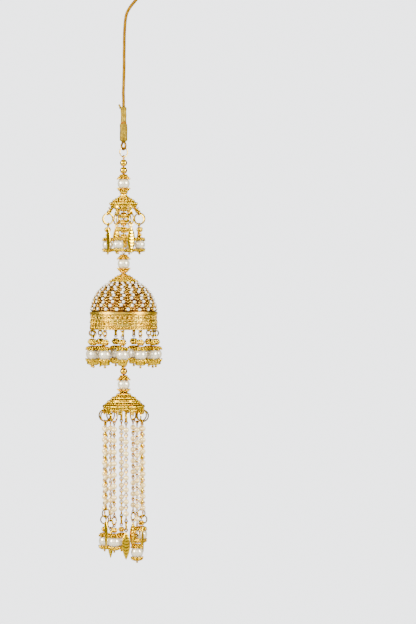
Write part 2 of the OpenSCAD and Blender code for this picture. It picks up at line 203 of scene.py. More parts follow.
def finished(name, form, material, crease=40.0):
    # a mesh object at the origin, in metres, with its faces outwards
    points, faces = form
    mesh = bpy.data.meshes.new(name)
    mesh.from_pydata([tuple(v) for v in np.asarray(points) * mm], [], faces)
    work = bmesh.new()
    work.from_mesh(mesh)
    bmesh.ops.remove_doubles(work, verts=work.verts, dist=1e-7)
    bmesh.ops.recalc_face_normals(work, faces=work.faces)
    work.to_mesh(mesh)
    work.free()
    return finishedMesh(name, mesh, material, crease)


def finishedMesh(name, mesh, material, crease=40.0):
    mesh.name = name
    mesh.shade_smooth()
    mesh.set_sharp_from_angle(angle=math.radians(crease))
    if material:
        mesh.materials.clear()
        mesh.materials.append(material)
    piece = bpy.data.objects.new(name, mesh)
    scene.collection.objects.link(piece)
    return piece


def loneMesh(form, material):
    # a finished mesh with no object, to be joined with others
    piece = finished("lone", form, material)
    mesh = piece.data
    bpy.data.objects.remove(piece)
    return mesh


def copyOfNode(name, node, material, crease=35.0):
    # the CAD node's own shape as a new mesh, merged so that it shades smoothly
    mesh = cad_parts[node].data.copy()
    work = bmesh.new()
    work.from_mesh(mesh)
    bmesh.ops.remove_doubles(work, verts=work.verts, dist=1e-6)
    work.to_mesh(mesh)
    work.free()
    if mesh.has_custom_normals:
        mesh.attributes.remove(mesh.attributes["custom_normal"])
    mesh.polygons.foreach_set("material_index", np.zeros(len(mesh.polygons), np.int32))
    return finishedMesh(name, mesh, material, crease)


def settle(piece, body, nodes, slot):
    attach(piece, body)
    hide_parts(*nodes)
    return piece


# shader groups that more than one finish uses


def feed(tree, socket, value):
    # links another node's socket, or sets a plain value
    if isinstance(value, bpy.types.NodeSocket):
        tree.links.new(value, socket)
    else:
        socket.default_value = value


def setInputs(node, values):
    for label, value in values.items():
        node.inputs[label].default_value = value


def shaderGroup(name, inputs, outputs):
    group = bpy.data.node_groups.new(name, "ShaderNodeTree")
    for label, kind, value in inputs:
        socket = group.interface.new_socket(label, in_out="INPUT", socket_type=kind)
        socket.default_value = value
    for label, kind in outputs:
        group.interface.new_socket(label, in_out="OUTPUT", socket_type=kind)
    return group, group.nodes.new("NodeGroupInput"), group.nodes.new("NodeGroupOutput")


def placedGroup(tree, group, values):
    node = tree.nodes.new("ShaderNodeGroup")
    node.node_tree = group
    setInputs(node, values)
    return node


def noiseOf(tree, detail, scale):
    # noise in the piece's own coordinates
    place = tree.nodes.new("ShaderNodeTexCoord")
    noise = tree.nodes.new("ShaderNodeTexNoise")
    noise.inputs["Detail"].default_value = detail
    feed(tree, noise.inputs["Scale"], scale)
    tree.links.new(place.outputs["Object"], noise.inputs["Vector"])
    return noise.outputs["Fac"]


def rangeOf(tree, value, ends):
    spread = tree.nodes.new("ShaderNodeMapRange")
    tree.links.new(value, spread.inputs["Value"])
    for label, end in ends.items():
        feed(tree, spread.inputs[label], end)
    return spread.outputs["Result"]


def colourMix(tree, factor, first, second):
    mix = tree.nodes.new("ShaderNodeMix")
    mix.data_type = "RGBA"
    tree.links.new(factor, mix.inputs["Factor"])
    feed(tree, mix.inputs["A"], first)
    feed(tree, mix.inputs["B"], second)
    return mix.outputs["Result"]


def makePatchesAndShadeGroup():
    # bright metal, warmer in random soft patches, and darkened by painted shade where ambient occlusion
    # finds it shut in
    group, given, result = shaderGroup(
        "patchesAndShade",
        [("Bright", "NodeSocketColor", (0.9, 0.62, 0.16, 1)),
         ("Warm", "NodeSocketColor", (0.75, 0.42, 0.06, 1)),
         ("Painted Shade", "NodeSocketColor", (0.08, 0.03, 0.01, 1)),
         ("Patch Size", "NodeSocketFloat", 900.0),
         ("Reach", "NodeSocketFloat", 0.0009),
         ("Polish", "NodeSocketFloat", 0.18),
         ("Dullness", "NodeSocketFloat", 0.4)],
        [("Colour", "NodeSocketColor"), ("Roughness", "NodeSocketFloat")])
    patches = noiseOf(group, 3, given.outputs["Patch Size"])
    spread = rangeOf(group, patches, {"From Min": 0.38, "From Max": 0.62})
    warm = colourMix(group, spread, given.outputs["Bright"], given.outputs["Warm"])
    # painted shade: the dark colour is mixed in where ambient occlusion finds the surface shut in, and the
    # roughness rises there too
    occlusion = group.nodes.new("ShaderNodeAmbientOcclusion")
    occlusion.samples = 6
    group.links.new(given.outputs["Reach"], occlusion.inputs["Distance"])
    unshadedShare = rangeOf(group, occlusion.outputs["AO"], {"From Min": 0.3, "From Max": 0.9})
    colour = colourMix(group, unshadedShare, given.outputs["Painted Shade"], warm)
    group.links.new(colour, result.inputs["Colour"])
    rough = rangeOf(group, unshadedShare, {"To Min": given.outputs["Dullness"],
                                      "To Max": given.outputs["Polish"]})
    group.links.new(rough, result.inputs["Roughness"])
    return group


def makeGrainGroup():
    # small unevenness of a worked surface, as a normal
    group, given, result = shaderGroup(
        "grain",
        [("Grain Size", "NodeSocketFloat", 2500.0), ("Depth", "NodeSocketFloat", 0.00003),
         ("Strength", "NodeSocketFloat", 0.3)],
        [("Normal", "NodeSocketVector")])
    bump = group.nodes.new("ShaderNodeBump")
    group.links.new(noiseOf(group, 2, given.outputs["Grain Size"]), bump.inputs["Height"])
    group.links.new(given.outputs["Depth"], bump.inputs["Distance"])
    group.links.new(given.outputs["Strength"], bump.inputs["Strength"])
    group.links.new(bump.outputs["Normal"], result.inputs["Normal"])
    return group


patchesAndShadeGroup = makePatchesAndShadeGroup()
grainGroup = makeGrainGroup()

# finishes


def newMaterial(name):
    material = bpy.data.materials.new(name)
    material.use_nodes = True
    return material, material.node_tree, material.node_tree.nodes["Principled BSDF"]


def makeMetal(name, patchesAndShade, grain):
    material, tree, shader = newMaterial(name)
    setInputs(shader, {"Metallic": 1.0, "Specular Tint": (1.0, 0.82, 0.4, 1)})  # the edges stay golden
    colours = placedGroup(tree, patchesAndShadeGroup, patchesAndShade)
    tree.links.new(colours.outputs["Colour"], shader.inputs["Base Color"])
    tree.links.new(colours.outputs["Roughness"], shader.inputs["Roughness"])
    surface = placedGroup(tree, grainGroup, grain)
    tree.links.new(surface.outputs["Normal"], shader.inputs["Normal"])
    return material


def makePearl(name, light, deep, patch, rough, coat, lustre):
    # cream body with cloudy patches under a glossy coat
    material, tree, shader = newMaterial(name)
    clouds = noiseOf(tree, 2, patch)
    tree.links.new(colourMix(tree, clouds, light, deep), shader.inputs["Base Color"])
    spread = rangeOf(tree, clouds, {"To Min": rough, "To Max": rough + 0.12})
    tree.links.new(spread, shader.inputs["Roughness"])
    setInputs(shader, {"Metallic": lustre, "Coat Weight": coat, "Coat Roughness": 0.19, "Coat IOR": 2.1,
                       "Specular IOR Level": 0.9, "Subsurface Weight": 0.15,
                       "Subsurface Radius": (1.0, 0.8, 0.6), "Subsurface Scale": 0.0006})
    return material


def makeThread(name, light, deep, strands, metallic, rough):
    # twisted thread, drawn by fine slanting waves
    material, tree, shader = newMaterial(name)
    setInputs(shader, {"Metallic": metallic, "Specular IOR Level": 0.25,
                       "Specular Tint": (1.0, 0.8, 0.35, 1)})
    place = tree.nodes.new("ShaderNodeTexCoord")
    waves = tree.nodes.new("ShaderNodeTexWave")
    waves.bands_direction = "DIAGONAL"
    setInputs(waves, {"Scale": strands, "Distortion": 2.5, "Detail": 2, "Detail Scale": 3})
    tree.links.new(place.outputs["Object"], waves.inputs["Vector"])
    # random warm patches, and painted shade in the thread's recesses a quarter as bright as its deep colour
    shade = placedGroup(tree, patchesAndShadeGroup, {
        "Warm": deep, "Painted Shade": tuple(0.25 * c for c in deep[:3]) + (1,), "Reach": 0.0006,
        "Patch Size": 600.0, "Polish": rough, "Dullness": min(1.0, rough + 0.3)})
    tree.links.new(colourMix(tree, waves.outputs["Fac"], deep, light), shade.inputs["Bright"])
    tree.links.new(shade.outputs["Colour"], shader.inputs["Base Color"])
    tree.links.new(shade.outputs["Roughness"], shader.inputs["Roughness"])
    bump = tree.nodes.new("ShaderNodeBump")
    setInputs(bump, {"Strength": 0.5, "Distance": 0.00005})
    tree.links.new(waves.outputs["Fac"], bump.inputs["Height"])
    tree.links.new(bump.outputs["Normal"], shader.inputs["Normal"])
    return material


# each metal's third, darkest colour is painted shade, laid where ambient occlusion finds the surface shut
# in within its reach; the other two are its own random tones
gold = makeMetal("polishedGold", {"Bright": (0.86, 0.56, 0.008, 1), "Warm": (0.82, 0.43, 0.002, 1),
                                  "Painted Shade": (0.16, 0.05, 0.0, 1), "Polish": 0.15,
                                  "Dullness": 0.42, "Reach": 0.0009},
                 {"Grain Size": 1800.0, "Depth": 0.00003, "Strength": 0.25})
reliefGold = makeMetal("castGold", {"Bright": (0.84, 0.58, 0.015, 1), "Warm": (0.78, 0.43, 0.004, 1),
                                    "Painted Shade": (0.07, 0.02, 0.0, 1), "Polish": 0.2,
                                    "Dullness": 0.5, "Reach": 0.0013},
                       {"Grain Size": 2600.0, "Depth": 0.00005, "Strength": 0.45})
bandGold = makeMetal("bellBandGold", {"Bright": (0.96, 0.67, 0.08, 1), "Warm": (0.96, 0.52, 0.02, 1),
                                      "Painted Shade": (0.05, 0.015, 0.004, 1), "Polish": 0.26,
                                      "Dullness": 0.55, "Patch Size": 220.0, "Reach": 0.0014},
                     {"Grain Size": 2400.0, "Depth": 0.00006, "Strength": 0.5})
# darker, browner gold for the balls on the dome
studGold = makeMetal("darkStudGold", {"Bright": (0.72, 0.4, 0.04, 1), "Warm": (0.42, 0.19, 0.02, 1),
                                      "Painted Shade": (0.03, 0.01, 0.002, 1), "Polish": 0.22,
                                      "Dullness": 0.55, "Patch Size": 300.0, "Reach": 0.0014},
                     {"Grain Size": 2600.0, "Depth": 0.00005, "Strength": 0.45})
# dark brown ground of the dome between its seeds and balls
bellGround = makeMetal("darkBellGround", {"Bright": (0.24, 0.09, 0.012, 1),
                                          "Warm": (0.08, 0.028, 0.012, 1),
                                          "Painted Shade": (0.012, 0.004, 0.004, 1), "Polish": 0.4,
                                          "Dullness": 0.65, "Patch Size": 160.0, "Reach": 0.0014},
                       {"Grain Size": 2400.0, "Depth": 0.00006, "Strength": 0.5})
# pearls: light and deep colour, patch scale, roughness, coat, lustre
pearlWhite = makePearl("creamPearl", (0.95, 0.87, 0.63, 1), (0.82, 0.68, 0.4, 1), 260.0, 0.18, 0.9, 0.32)
pearlPeach = makePearl("peachPearl", (1.0, 0.8, 0.36, 1), (1.0, 0.63, 0.15, 1), 320.0, 0.2, 0.5, 0.15)
seedWhite = makePearl("seedPearl", (0.98, 0.93, 0.79, 1), (0.88, 0.8, 0.6, 1), 420.0, 0.2, 0.8, 0.15)
# threads: light and deep colour, wave scale, metal, roughness
cordGold = makeThread("goldBraidThread", (0.36, 0.19, 0.002, 1), (0.19, 0.08, 0.001, 1),
                      1400.0, 0.85, 0.48)
wrapGold = makeThread("wrappingThread", (0.46, 0.32, 0.03, 1), (0.22, 0.13, 0.008, 1), 1700.0, 0.6, 0.5)
tieOrange = makeThread("tieThread", (0.5, 0.2, 0.002, 1), (0.34, 0.1, 0.001, 1), 2000.0, 0.5, 0.5)
print("finishes made")

# stage and light

# the stage and the lights are in metres
lightSizes = {
    "sideways": 0.8, "front": -0.5, "height": 0.1, "box": (0.42, 0.46), "power": 24.0,
    "topPlace": (0, -0.1, 1.2), "topBox": (1.0, 1.0), "topPower": 5.0,
    "frontPlace": (-0.25, -1.3, 0.3), "frontBox": (0.9, 0.7), "frontPower": 8.5,
    "aim": (-0.012, 0, -0.17), "room": (0.95, 0.97, 1.0, 1), "roomGrey": 0.2,
    "paper": (0.93, 0.94, 0.965, 1), "paperLight": 3.5, "paperShade": (0.4, 0.4, 0.41, 1),
}
stageSizes = {"floor": -0.43, "wall": 1.1, "bend": 0.5, "front": -2.6, "top": 2.2, "side": 3.0,
              "steps": 16}


def paleToCamera(tree, dim, paleKind, end):
    # shows the paper's pale light to the camera, and lights the gold with the dim shader alone
    pale = tree.nodes.new(paleKind)
    setInputs(pale, {"Color": lightSizes["paper"], "Strength": lightSizes["paperLight"]})
    seen = tree.nodes.new("ShaderNodeLightPath")
    mix = tree.nodes.new("ShaderNodeMixShader")
    tree.links.new(seen.outputs["Is Camera Ray"], mix.inputs["Fac"])
    tree.links.new(dim.outputs[0], mix.inputs[1])
    tree.links.new(pale.outputs[0], mix.inputs[2])
    tree.links.new(mix.outputs["Shader"], tree.nodes[end].inputs["Surface"])


def makeStage(sizes):
    # a sweep of paper: floor, rounded bend and wall
    line = [(sizes["front"], sizes["floor"])]
    for i in range(sizes["steps"] + 1):
        a = math.pi / 2 * i / sizes["steps"]
        line.append((sizes["wall"] - sizes["bend"] + sizes["bend"] * math.sin(a),
                     sizes["floor"] + sizes["bend"] * (1 - math.cos(a))))
    line.append((sizes["wall"], sizes["top"]))
    points = [(x, y, z) for y, z in line for x in (-sizes["side"], sizes["side"])]
    faces = [(2 * i, 2 * i + 1, 2 * i + 3, 2 * i + 2) for i in range(len(line) - 1)]
    mesh = bpy.data.meshes.new("backdrop")
    mesh.from_pydata(points, [], faces)
    mesh.shade_smooth()
    paper, tree, shader = newMaterial("palePaper")
    setInputs(shader, {"Base Color": lightSizes["paperShade"], "Roughness": 0.9})
    paleToCamera(tree, shader, "ShaderNodeEmission", "Material Output")
    mesh.materials.append(paper)
    backdrop = bpy.data.objects.new("backdrop", mesh)
    scene.collection.objects.link(backdrop)


def softBox(name, place, size, power):
    data = bpy.data.lights.new(name, "AREA")
    data.shape = "RECTANGLE"
    data.size, data.size_y = size
    data.energy = power
    light = bpy.data.objects.new(name, data)
    scene.collection.objects.link(light)
    light.location = place
    way = Vector(lightSizes["aim"]) - Vector(place)
    light.rotation_euler = way.to_track_quat("-Z", "Y").to_euler()


def makeRoom(sizes):
    room = bpy.data.worlds.new("room")
    room.use_nodes = True
    dim = room.node_tree.nodes["Background"]
    setInputs(dim, {"Color": sizes["room"], "Strength": sizes["roomGrey"]})
    paleToCamera(room.node_tree, dim, "ShaderNodeBackground", "World Output")
    scene.world = room


def makeLights(sizes):
    for side, name in ((-1, "leftSoftBox"), (1, "rightSoftBox")):
        softBox(name, (side * sizes["sideways"], sizes["front"], sizes["height"]), sizes["box"],
                sizes["power"])
    softBox("topSoftBox", sizes["topPlace"], sizes["topBox"], sizes["topPower"])
    softBox("frontSoftBox", sizes["frontPlace"], sizes["frontBox"], sizes["frontPower"])


makeStage(stageSizes)
makeLights(lightSizes)
makeRoom(lightSizes)
print("stage and lights placed")

# braided cord, from the wrapping up to its knotted loop

cordSizes = {
    "diameter": 1.7, "sides": 24, "step": 0.09, "plaits": 4, "plaitLength": 1.15, "relief": 0.17,
    # the middle line, from the wrapping's top to the knot
    "route": [(-12.3, 0, -62.8), (-12.3, 0, -59.5), (-12.4, 0, -56), (-12.3, 0, -52.5),
              (-12.2, 0, -49), (-12.1, 0, -45.5), (-12, 0, -42), (-12, 0, -38.5), (-12, 0, -35),
              (-11.9, 0, -31.5), (-11.9, 0, -28), (-11.8, 0, -24.5), (-11.6, 0, -21),
              (-11.3, 0, -17.6), (-10.6, 0, -14.4), (-9.2, 0, -11.7), (-7.5, 0, -9.4),
              (-5.7, 0, -7.3), (-4, 0, -5.2)],
}


def braidHeight(across, along, plaits, plaitLength):
    # 0 in the valleys and 1 on the plaits, which cross over and under each other
    u = across * plaits / (2 * math.pi) + along / plaitLength
    v = across * plaits / (2 * math.pi) - along / plaitLength
    over, under = (u, v) if (math.floor(u) + math.floor(v)) % 2 else (v, u)
    return math.sin(math.pi * (over % 1)) ** 0.7 * (0.55 + 0.45 * math.sin(math.pi * (under % 1)))


def evenPath(route, step):
    # points at even steps along the rounded route, and its length
    points = np.array(smoothed(route, steps=24))
    lengths = np.concatenate([[0], np.cumsum(np.linalg.norm(np.diff(points, axis=0), axis=1))])
    count = max(2, int(round(lengths[-1] / step)))
    places = np.linspace(0, lengths[-1], count + 1)
    return np.stack([np.interp(places, lengths, points[:, j]) for j in range(3)], axis=1), lengths[-1]


def makeCord(sizes):
    path, length = evenPath(sizes["route"], sizes["step"])
    r = sizes["diameter"] / 2

    def radiusAt(i, a):
        lift = braidHeight(a, i * sizes["step"], sizes["plaits"], sizes["plaitLength"])
        return r - sizes["relief"] + 1.25 * sizes["relief"] * lift
    cord = finished("braidedCord", wireAlong(path, radiusAt, sizes["sides"]), cordGold, crease=60)
    return cord, path, length


knotSizes = {"tilt": 37.8, "loopRadius": 2.4, "barrel": (-6.5, -3.9), "barrelRadius": 1.55, "turns": 3,
             "plaits": 3, "loopPlait": 4.18879, "turnPlait": 2.1, "slant": 0.1}


def makeKnot(sizes):
    # the hanging loop and the barrel of turns under it, leaning with the cord
    cordRadius = cordSizes["diameter"] / 2

    def relief(a, s):
        return -0.17 + 0.2 * braidHeight(s, a * sizes["loopRadius"], sizes["plaits"], sizes["loopPlait"])
    loop = moved(wireRing(sizes["loopRadius"], cordRadius, around=96, sides=20, relief=relief),
                 (0, 0, -sizes["loopRadius"] + cordRadius))
    low, high = sizes["barrel"]
    turnHeight = (high - low) / sizes["turns"]
    turnWire = turnHeight / 2 * 1.08
    ringRadius = sizes["barrelRadius"] - turnWire
    around, sides = 48, 14
    turns = []
    for i in range(sizes["turns"]):
        height = low + (i + 0.5) * turnHeight

        def pointAt(row, k):
            a, s = 2 * math.pi * row / around, 2 * math.pi * k / sides
            braid = braidHeight(s, a * ringRadius, sizes["plaits"], sizes["turnPlait"])
            wire = turnWire - 0.1 + 0.12 * braid
            r = ringRadius + wire * math.cos(s)
            z = height + sizes["slant"] * math.sin(a + i) + wire * math.sin(s)
            return (r * math.cos(a), r * math.sin(a), z)
        turns.append(sheetOf(around, sides, pointAt))
    core = stem(high + 0.7, low + 0.1, 0.8, sides=16)
    knot = moved(joined([loop, core] + turns), tilt=sizes["tilt"])
    return finished("cordKnot", knot, cordGold, crease=60)


cordPiece, cordPath, cordLength = makeCord(cordSizes)
knotPiece = makeKnot(knotSizes)
settle(cordPiece, "root", ["cord"], "gold_cord")
settle(knotPiece, "root", ["cord_knot"], "gold_cord")
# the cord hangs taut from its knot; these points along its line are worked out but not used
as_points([tuple(p * mm) for p in cordPath[::4]] + [tuple(cordPath[-1] * mm)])
print("cord and knot made, cord length in mm:", round(cordLength, 1))

# thread wrapping, its tie and the end loop

wrapSizes = {
    "top": -62.9, "tie": -71.2, "foot": -80.9, "upperRadius": 1.56, "lowerRadius": 2.05,
    "turn": 0.42, "relief": 0.1, "rowStep": 0.1, "sides": 28,
    "threadsAlong": 10, "twist": 0.35,  # above the tie, where the threads run more along it
    "socket": {"radius": 1.0, "rim": 1.5, "depth": 1.15},
    "stub": {"radius": 0.55, "lobes": 4, "place": -1.6, "tilt": -18,
             "route": [(0, 0, 0), (0.1, 0, 0.8), (0.05, 0, 1.6), (-0.1, 0, 2.4)]},
    # each binding turn is (height, radius, thread), from the top's or the foot's height
    "topTurns": [(-0.55, 1.45, 0.16), (-0.9, 1.48, 0.16), (-1.25, 1.5, 0.16), (-1.6, 1.5, 0.16)],
    "footTurns": [(0.9, 1.95, 0.15), (0.55, 1.85, 0.15)],
    "tieTurns": [(-0.35, 0.0), (-0.05, 1.5), (0.25, -1.0)], "tieThread": 0.14,
}


def makeWrap(sizes):
    # wound thread with a socket below, and the stub of the cord's cut end above
    outline = [(sizes["top"], sizes["upperRadius"] - 0.35),
               (sizes["top"] - 0.5, sizes["upperRadius"]),
               (sizes["tie"] + 0.5, sizes["upperRadius"] - 0.05),
               (sizes["tie"], sizes["upperRadius"] - 0.22),
               (sizes["tie"] - 0.9, sizes["lowerRadius"]),
               (sizes["foot"] + 1.3, sizes["lowerRadius"]),
               (sizes["foot"], sizes["lowerRadius"] - 0.5)]
    heights = np.array([z for z, r in outline])[::-1]
    radii = np.array([r for z, r in outline])[::-1]
    rows = int((sizes["top"] - sizes["foot"]) / sizes["rowStep"])

    def pointAt(i, k):
        z = sizes["top"] - i * sizes["rowStep"]
        a = 2 * math.pi * k / sizes["sides"]
        if z > sizes["tie"]:
            phase = sizes["threadsAlong"] * k / sizes["sides"] + z * sizes["twist"]
        else:
            phase = z / sizes["turn"] + k / sizes["sides"]
        groove = sizes["relief"] * (0.5 + 0.5 * math.cos(2 * math.pi * phase))
        loose = 0.05 * math.sin(3 * a + z * 0.9) + 0.03 * math.sin(5 * a - z * 1.7)
        r = np.interp(z, heights, radii) - groove + loose
        return (r * math.cos(a), r * math.sin(a), z)
    points, faces = sheetOf(rows + 1, sizes["sides"], pointAt, rowsClose=False)
    faces = faces + [tuple(reversed(range(sizes["sides"])))]
    socket, foot = sizes["socket"], sizes["foot"]
    inner = turned([(socket["rim"], foot), (socket["radius"], foot + 0.02),
                    (socket["radius"], foot + socket["depth"]), (0, foot + socket["depth"])],
                   sizes["sides"], closed=False)
    cut = sizes["stub"]

    def stubRadius(i, a):
        return cut["radius"] + 0.06 * math.cos(cut["lobes"] * a + i)
    stub = wireAlong(cut["route"], stubRadius, sides=10)
    stub = moved(stub, (cut["place"], 0, sizes["top"] - 1), tilt=cut["tilt"])
    return moved(joined([(points, faces), inner, stub]), (axisX, 0, 0))


def makeBindings(sizes):
    # thread turns at the wrapping's top and at its foot
    turns = [levelRing(r, thread, start + z, around=32, sides=6)
             for start, rows in ((sizes["top"], sizes["topTurns"]), (sizes["foot"], sizes["footTurns"]))
             for z, r, thread in rows]
    return moved(joined(turns), (axisX, 0, 0))


def makeTie(sizes):
    # loose turns that dip and rise round the wrapping
    around, sides, thread = 36, 6, sizes["tieThread"]
    turns = []
    for step, start in sizes["tieTurns"]:
        def pointAt(i, k):
            a, s = 2 * math.pi * i / around, 2 * math.pi * k / sides
            r = sizes["upperRadius"] - 0.02 + thread * math.cos(s)
            z = sizes["tie"] + step + 0.1 * math.sin(a + start) + thread * math.sin(s)
            return (r * math.cos(a), r * math.sin(a), z)
        turns.append(sheetOf(around, sides, pointAt))
    return moved(joined(turns), (axisX, 0, 0))


endLoopSizes = {"height": -83.1, "loopRadius": 1.9, "cord": 0.6, "turn": -55.0, "plaits": 3,
                "plaitCount": 6, "neck": 0.99, "neckTop": 0.75, "neckHeight": 1.5}


def makeEndLoop(sizes):
    # the loop that the cord ends in, and its neck up in the wrapping's socket
    plaitLength = 2 * math.pi * sizes["loopRadius"] / sizes["plaitCount"]

    def relief(a, s):
        return -0.09 + 0.13 * braidHeight(s, a * sizes["loopRadius"], sizes["plaits"], plaitLength)
    loop = wireRing(sizes["loopRadius"], sizes["cord"], sizes["turn"], around=60, sides=14, relief=relief)
    foot = sizes["loopRadius"] - 0.3
    top = foot + sizes["neckHeight"]
    neck = turned([(0, foot), (sizes["neckTop"], foot), (sizes["neck"], foot + 0.35),
                   (sizes["neck"] - 0.05, top), (0, top)], sides=20, closed=False)
    return moved(joined([loop, neck]), (axisX, 0, sizes["height"]))


for name, form, thread in (("threadWrapping", makeWrap(wrapSizes), wrapGold),
                           ("bindingTurns", makeBindings(wrapSizes), wrapGold),
                           ("orangeTie", makeTie(wrapSizes), tieOrange)):
    settle(finished(name, form, thread, crease=60), "root", ["cord_wrap"], "wrap_thread")
settle(finished("cordEndLoop", makeEndLoop(endLoopSizes), cordGold, crease=60), "root", ["cord_end_loop"],
       "gold_cord")
print("wrapping and end loop made")

# geometry node trees for what repeats


def nodeTree(name, inputs):
    tree = bpy.data.node_groups.new(name, "GeometryNodeTree")
    for label, kind, value in inputs:
        socket = tree.interface.new_socket(label, in_out="INPUT", socket_type=kind)
        if value is not None:
            socket.default_value = value
    tree.interface.new_socket("Geometry", in_out="OUTPUT", socket_type="NodeSocketGeometry")
    return tree, tree.nodes.new("NodeGroupInput"), tree.nodes.new("NodeGroupOutput")


def mathNode(tree, operation, a, b=None):
    node = tree.nodes.new("ShaderNodeMath")
    node.operation = operation
    for socket, value in zip(node.inputs, (a, b)):
        if value is not None:
            feed(tree, socket, value)
    return node.outputs[0]


def placeOf(tree, across, back, up):
    # a vector from the distances to the right, to the back and up
    place = tree.nodes.new("ShaderNodeCombineXYZ")
    for axis, value in zip("XYZ", (across, back, up)):
        feed(tree, place.inputs[axis], value)
    return place.outputs[0]


def instancesAt(tree, given, result, position, turn, tilt, size, count):
    # the given piece at each point, made real and given its material
    dots = tree.nodes.new("GeometryNodePoints")
    tree.links.new(count, dots.inputs["Count"])
    tree.links.new(position, dots.inputs["Position"])
    rotation = tree.nodes.new("FunctionNodeEulerToRotation")
    tree.links.new(placeOf(tree, tilt, 0.0, turn), rotation.inputs[0])
    source = tree.nodes.new("GeometryNodeObjectInfo")
    source.transform_space = "ORIGINAL"
    tree.links.new(given.outputs["Piece"], source.inputs["Object"])
    place = tree.nodes.new("GeometryNodeInstanceOnPoints")
    tree.links.new(dots.outputs[0], place.inputs["Points"])
    tree.links.new(source.outputs["Geometry"], place.inputs["Instance"])
    tree.links.new(rotation.outputs[0], place.inputs["Rotation"])
    tree.links.new(size, place.inputs["Scale"])
    real = tree.nodes.new("GeometryNodeRealizeInstances")
    tree.links.new(place.outputs[0], real.inputs[0])
    paint = tree.nodes.new("GeometryNodeSetMaterial")
    tree.links.new(real.outputs[0], paint.inputs["Geometry"])
    tree.links.new(given.outputs["Material"], paint.inputs["Material"])
    tree.links.new(paint.outputs[0], result.inputs["Geometry"])


def makeCircleTree():
    # pieces in a ring round the hanging axis, each turned so that its front faces outwards
    tree, given, result = nodeTree("ringOfPieces", [
        ("Piece", "NodeSocketObject", None), ("Material", "NodeSocketMaterial", None),
        ("Count", "NodeSocketInt", 8), ("Radius", "NodeSocketFloat", 0.01),
        ("Height", "NodeSocketFloat", 0.0), ("First Angle", "NodeSocketFloat", 0.0),
        ("Axis X", "NodeSocketFloat", axisX * mm), ("Size", "NodeSocketFloat", 1.0),
        ("Tilt", "NodeSocketFloat", 0.0)])
    value = given.outputs
    calc = partial(mathNode, tree)
    index = tree.nodes.new("GeometryNodeInputIndex").outputs[0]
    step = calc("DIVIDE", 2 * math.pi, value["Count"])
    angle = calc("ADD", calc("MULTIPLY", index, step), value["First Angle"])
    across = calc("ADD", calc("MULTIPLY", calc("SINE", angle), value["Radius"]), value["Axis X"])
    back = calc("MULTIPLY", calc("MULTIPLY", calc("COSINE", angle), value["Radius"]), -1.0)
    instancesAt(tree, given, result, placeOf(tree, across, back, value["Height"]), angle,
                value["Tilt"], value["Size"], value["Count"])
    return tree


def makeDomeTree():
    # pieces in columns up a dome, smaller towards its top, with a small unevenness
    tree, given, result = nodeTree("columnsOnDome", [
        ("Piece", "NodeSocketObject", None), ("Material", "NodeSocketMaterial", None),
        ("Columns", "NodeSocketInt", 22), ("Rows", "NodeSocketInt", 9),
        ("Shell Radius", "NodeSocketFloat", 0.0166), ("Centre Height", "NodeSocketFloat", -0.169),
        ("Lowest", "NodeSocketFloat", 0.07), ("Row Step", "NodeSocketFloat", 0.11),
        ("First Angle", "NodeSocketFloat", 0.0), ("Axis X", "NodeSocketFloat", axisX * mm),
        ("Top Size", "NodeSocketFloat", 0.75), ("Unevenness", "NodeSocketFloat", 0.02),
        ("Seed", "NodeSocketInt", 3)])
    value = given.outputs
    calc = partial(mathNode, tree)
    index = tree.nodes.new("GeometryNodeInputIndex").outputs[0]
    column = calc("FLOOR", calc("DIVIDE", index, value["Rows"]))
    row = calc("SUBTRACT", index, calc("MULTIPLY", column, value["Rows"]))
    shakes = []
    for offset in (0, 50):
        shake = tree.nodes.new("FunctionNodeRandomValue")
        shake.data_type = "FLOAT"
        shake.inputs[2].default_value = -1.0
        shake.inputs[3].default_value = 1.0
        tree.links.new(calc("ADD", value["Seed"], offset), shake.inputs["Seed"])
        shakes.append(calc("MULTIPLY", shake.outputs[1], value["Unevenness"]))
    columnStep = calc("DIVIDE", 2 * math.pi, value["Columns"])
    angle = calc("ADD", calc("MULTIPLY", column, columnStep), value["First Angle"])
    angle = calc("ADD", angle, shakes[0])
    rise = calc("ADD", value["Lowest"], calc("MULTIPLY", row, value["Row Step"]))
    rise = calc("ADD", rise, shakes[1])
    level = calc("MULTIPLY", calc("COSINE", rise), value["Shell Radius"])
    across = calc("ADD", calc("MULTIPLY", calc("SINE", angle), level), value["Axis X"])
    back = calc("MULTIPLY", calc("MULTIPLY", calc("COSINE", angle), level), -1.0)
    up = calc("ADD", calc("MULTIPLY", calc("SINE", rise), value["Shell Radius"]), value["Centre Height"])
    share = calc("DIVIDE", row, value["Rows"])
    size = calc("ADD", 1.0, calc("MULTIPLY", share, calc("SUBTRACT", value["Top Size"], 1.0)))
    instancesAt(tree, given, result, placeOf(tree, across, back, up), angle,
                calc("MULTIPLY", rise, -1.0), size, calc("MULTIPLY", value["Columns"], value["Rows"]))
    return tree


def makeStringTree():
    # pieces at even steps down a hanging string
    tree, given, result = nodeTree("downAString", [
        ("Piece", "NodeSocketObject", None), ("Material", "NodeSocketMaterial", None),
        ("Count", "NodeSocketInt", 8), ("Step", "NodeSocketFloat", 0.0064),
        ("Top", "NodeSocketVector", (0, 0, 0)), ("Turn", "NodeSocketFloat", 0.0),
        ("Size", "NodeSocketFloat", 1.0)])
    value = given.outputs
    calc = partial(mathNode, tree)
    index = tree.nodes.new("GeometryNodeInputIndex").outputs[0]
    drop = calc("MULTIPLY", calc("MULTIPLY", index, value["Step"]), -1.0)
    place = tree.nodes.new("ShaderNodeVectorMath")
    tree.links.new(value["Top"], place.inputs[0])
    tree.links.new(placeOf(tree, 0.0, 0.0, drop), place.inputs[1])
    instancesAt(tree, given, result, place.outputs[0], value["Turn"], 0.0, value["Size"], value["Count"])
    return tree


circleTree, domeTree, stringTree = makeCircleTree(), makeDomeTree(), makeStringTree()


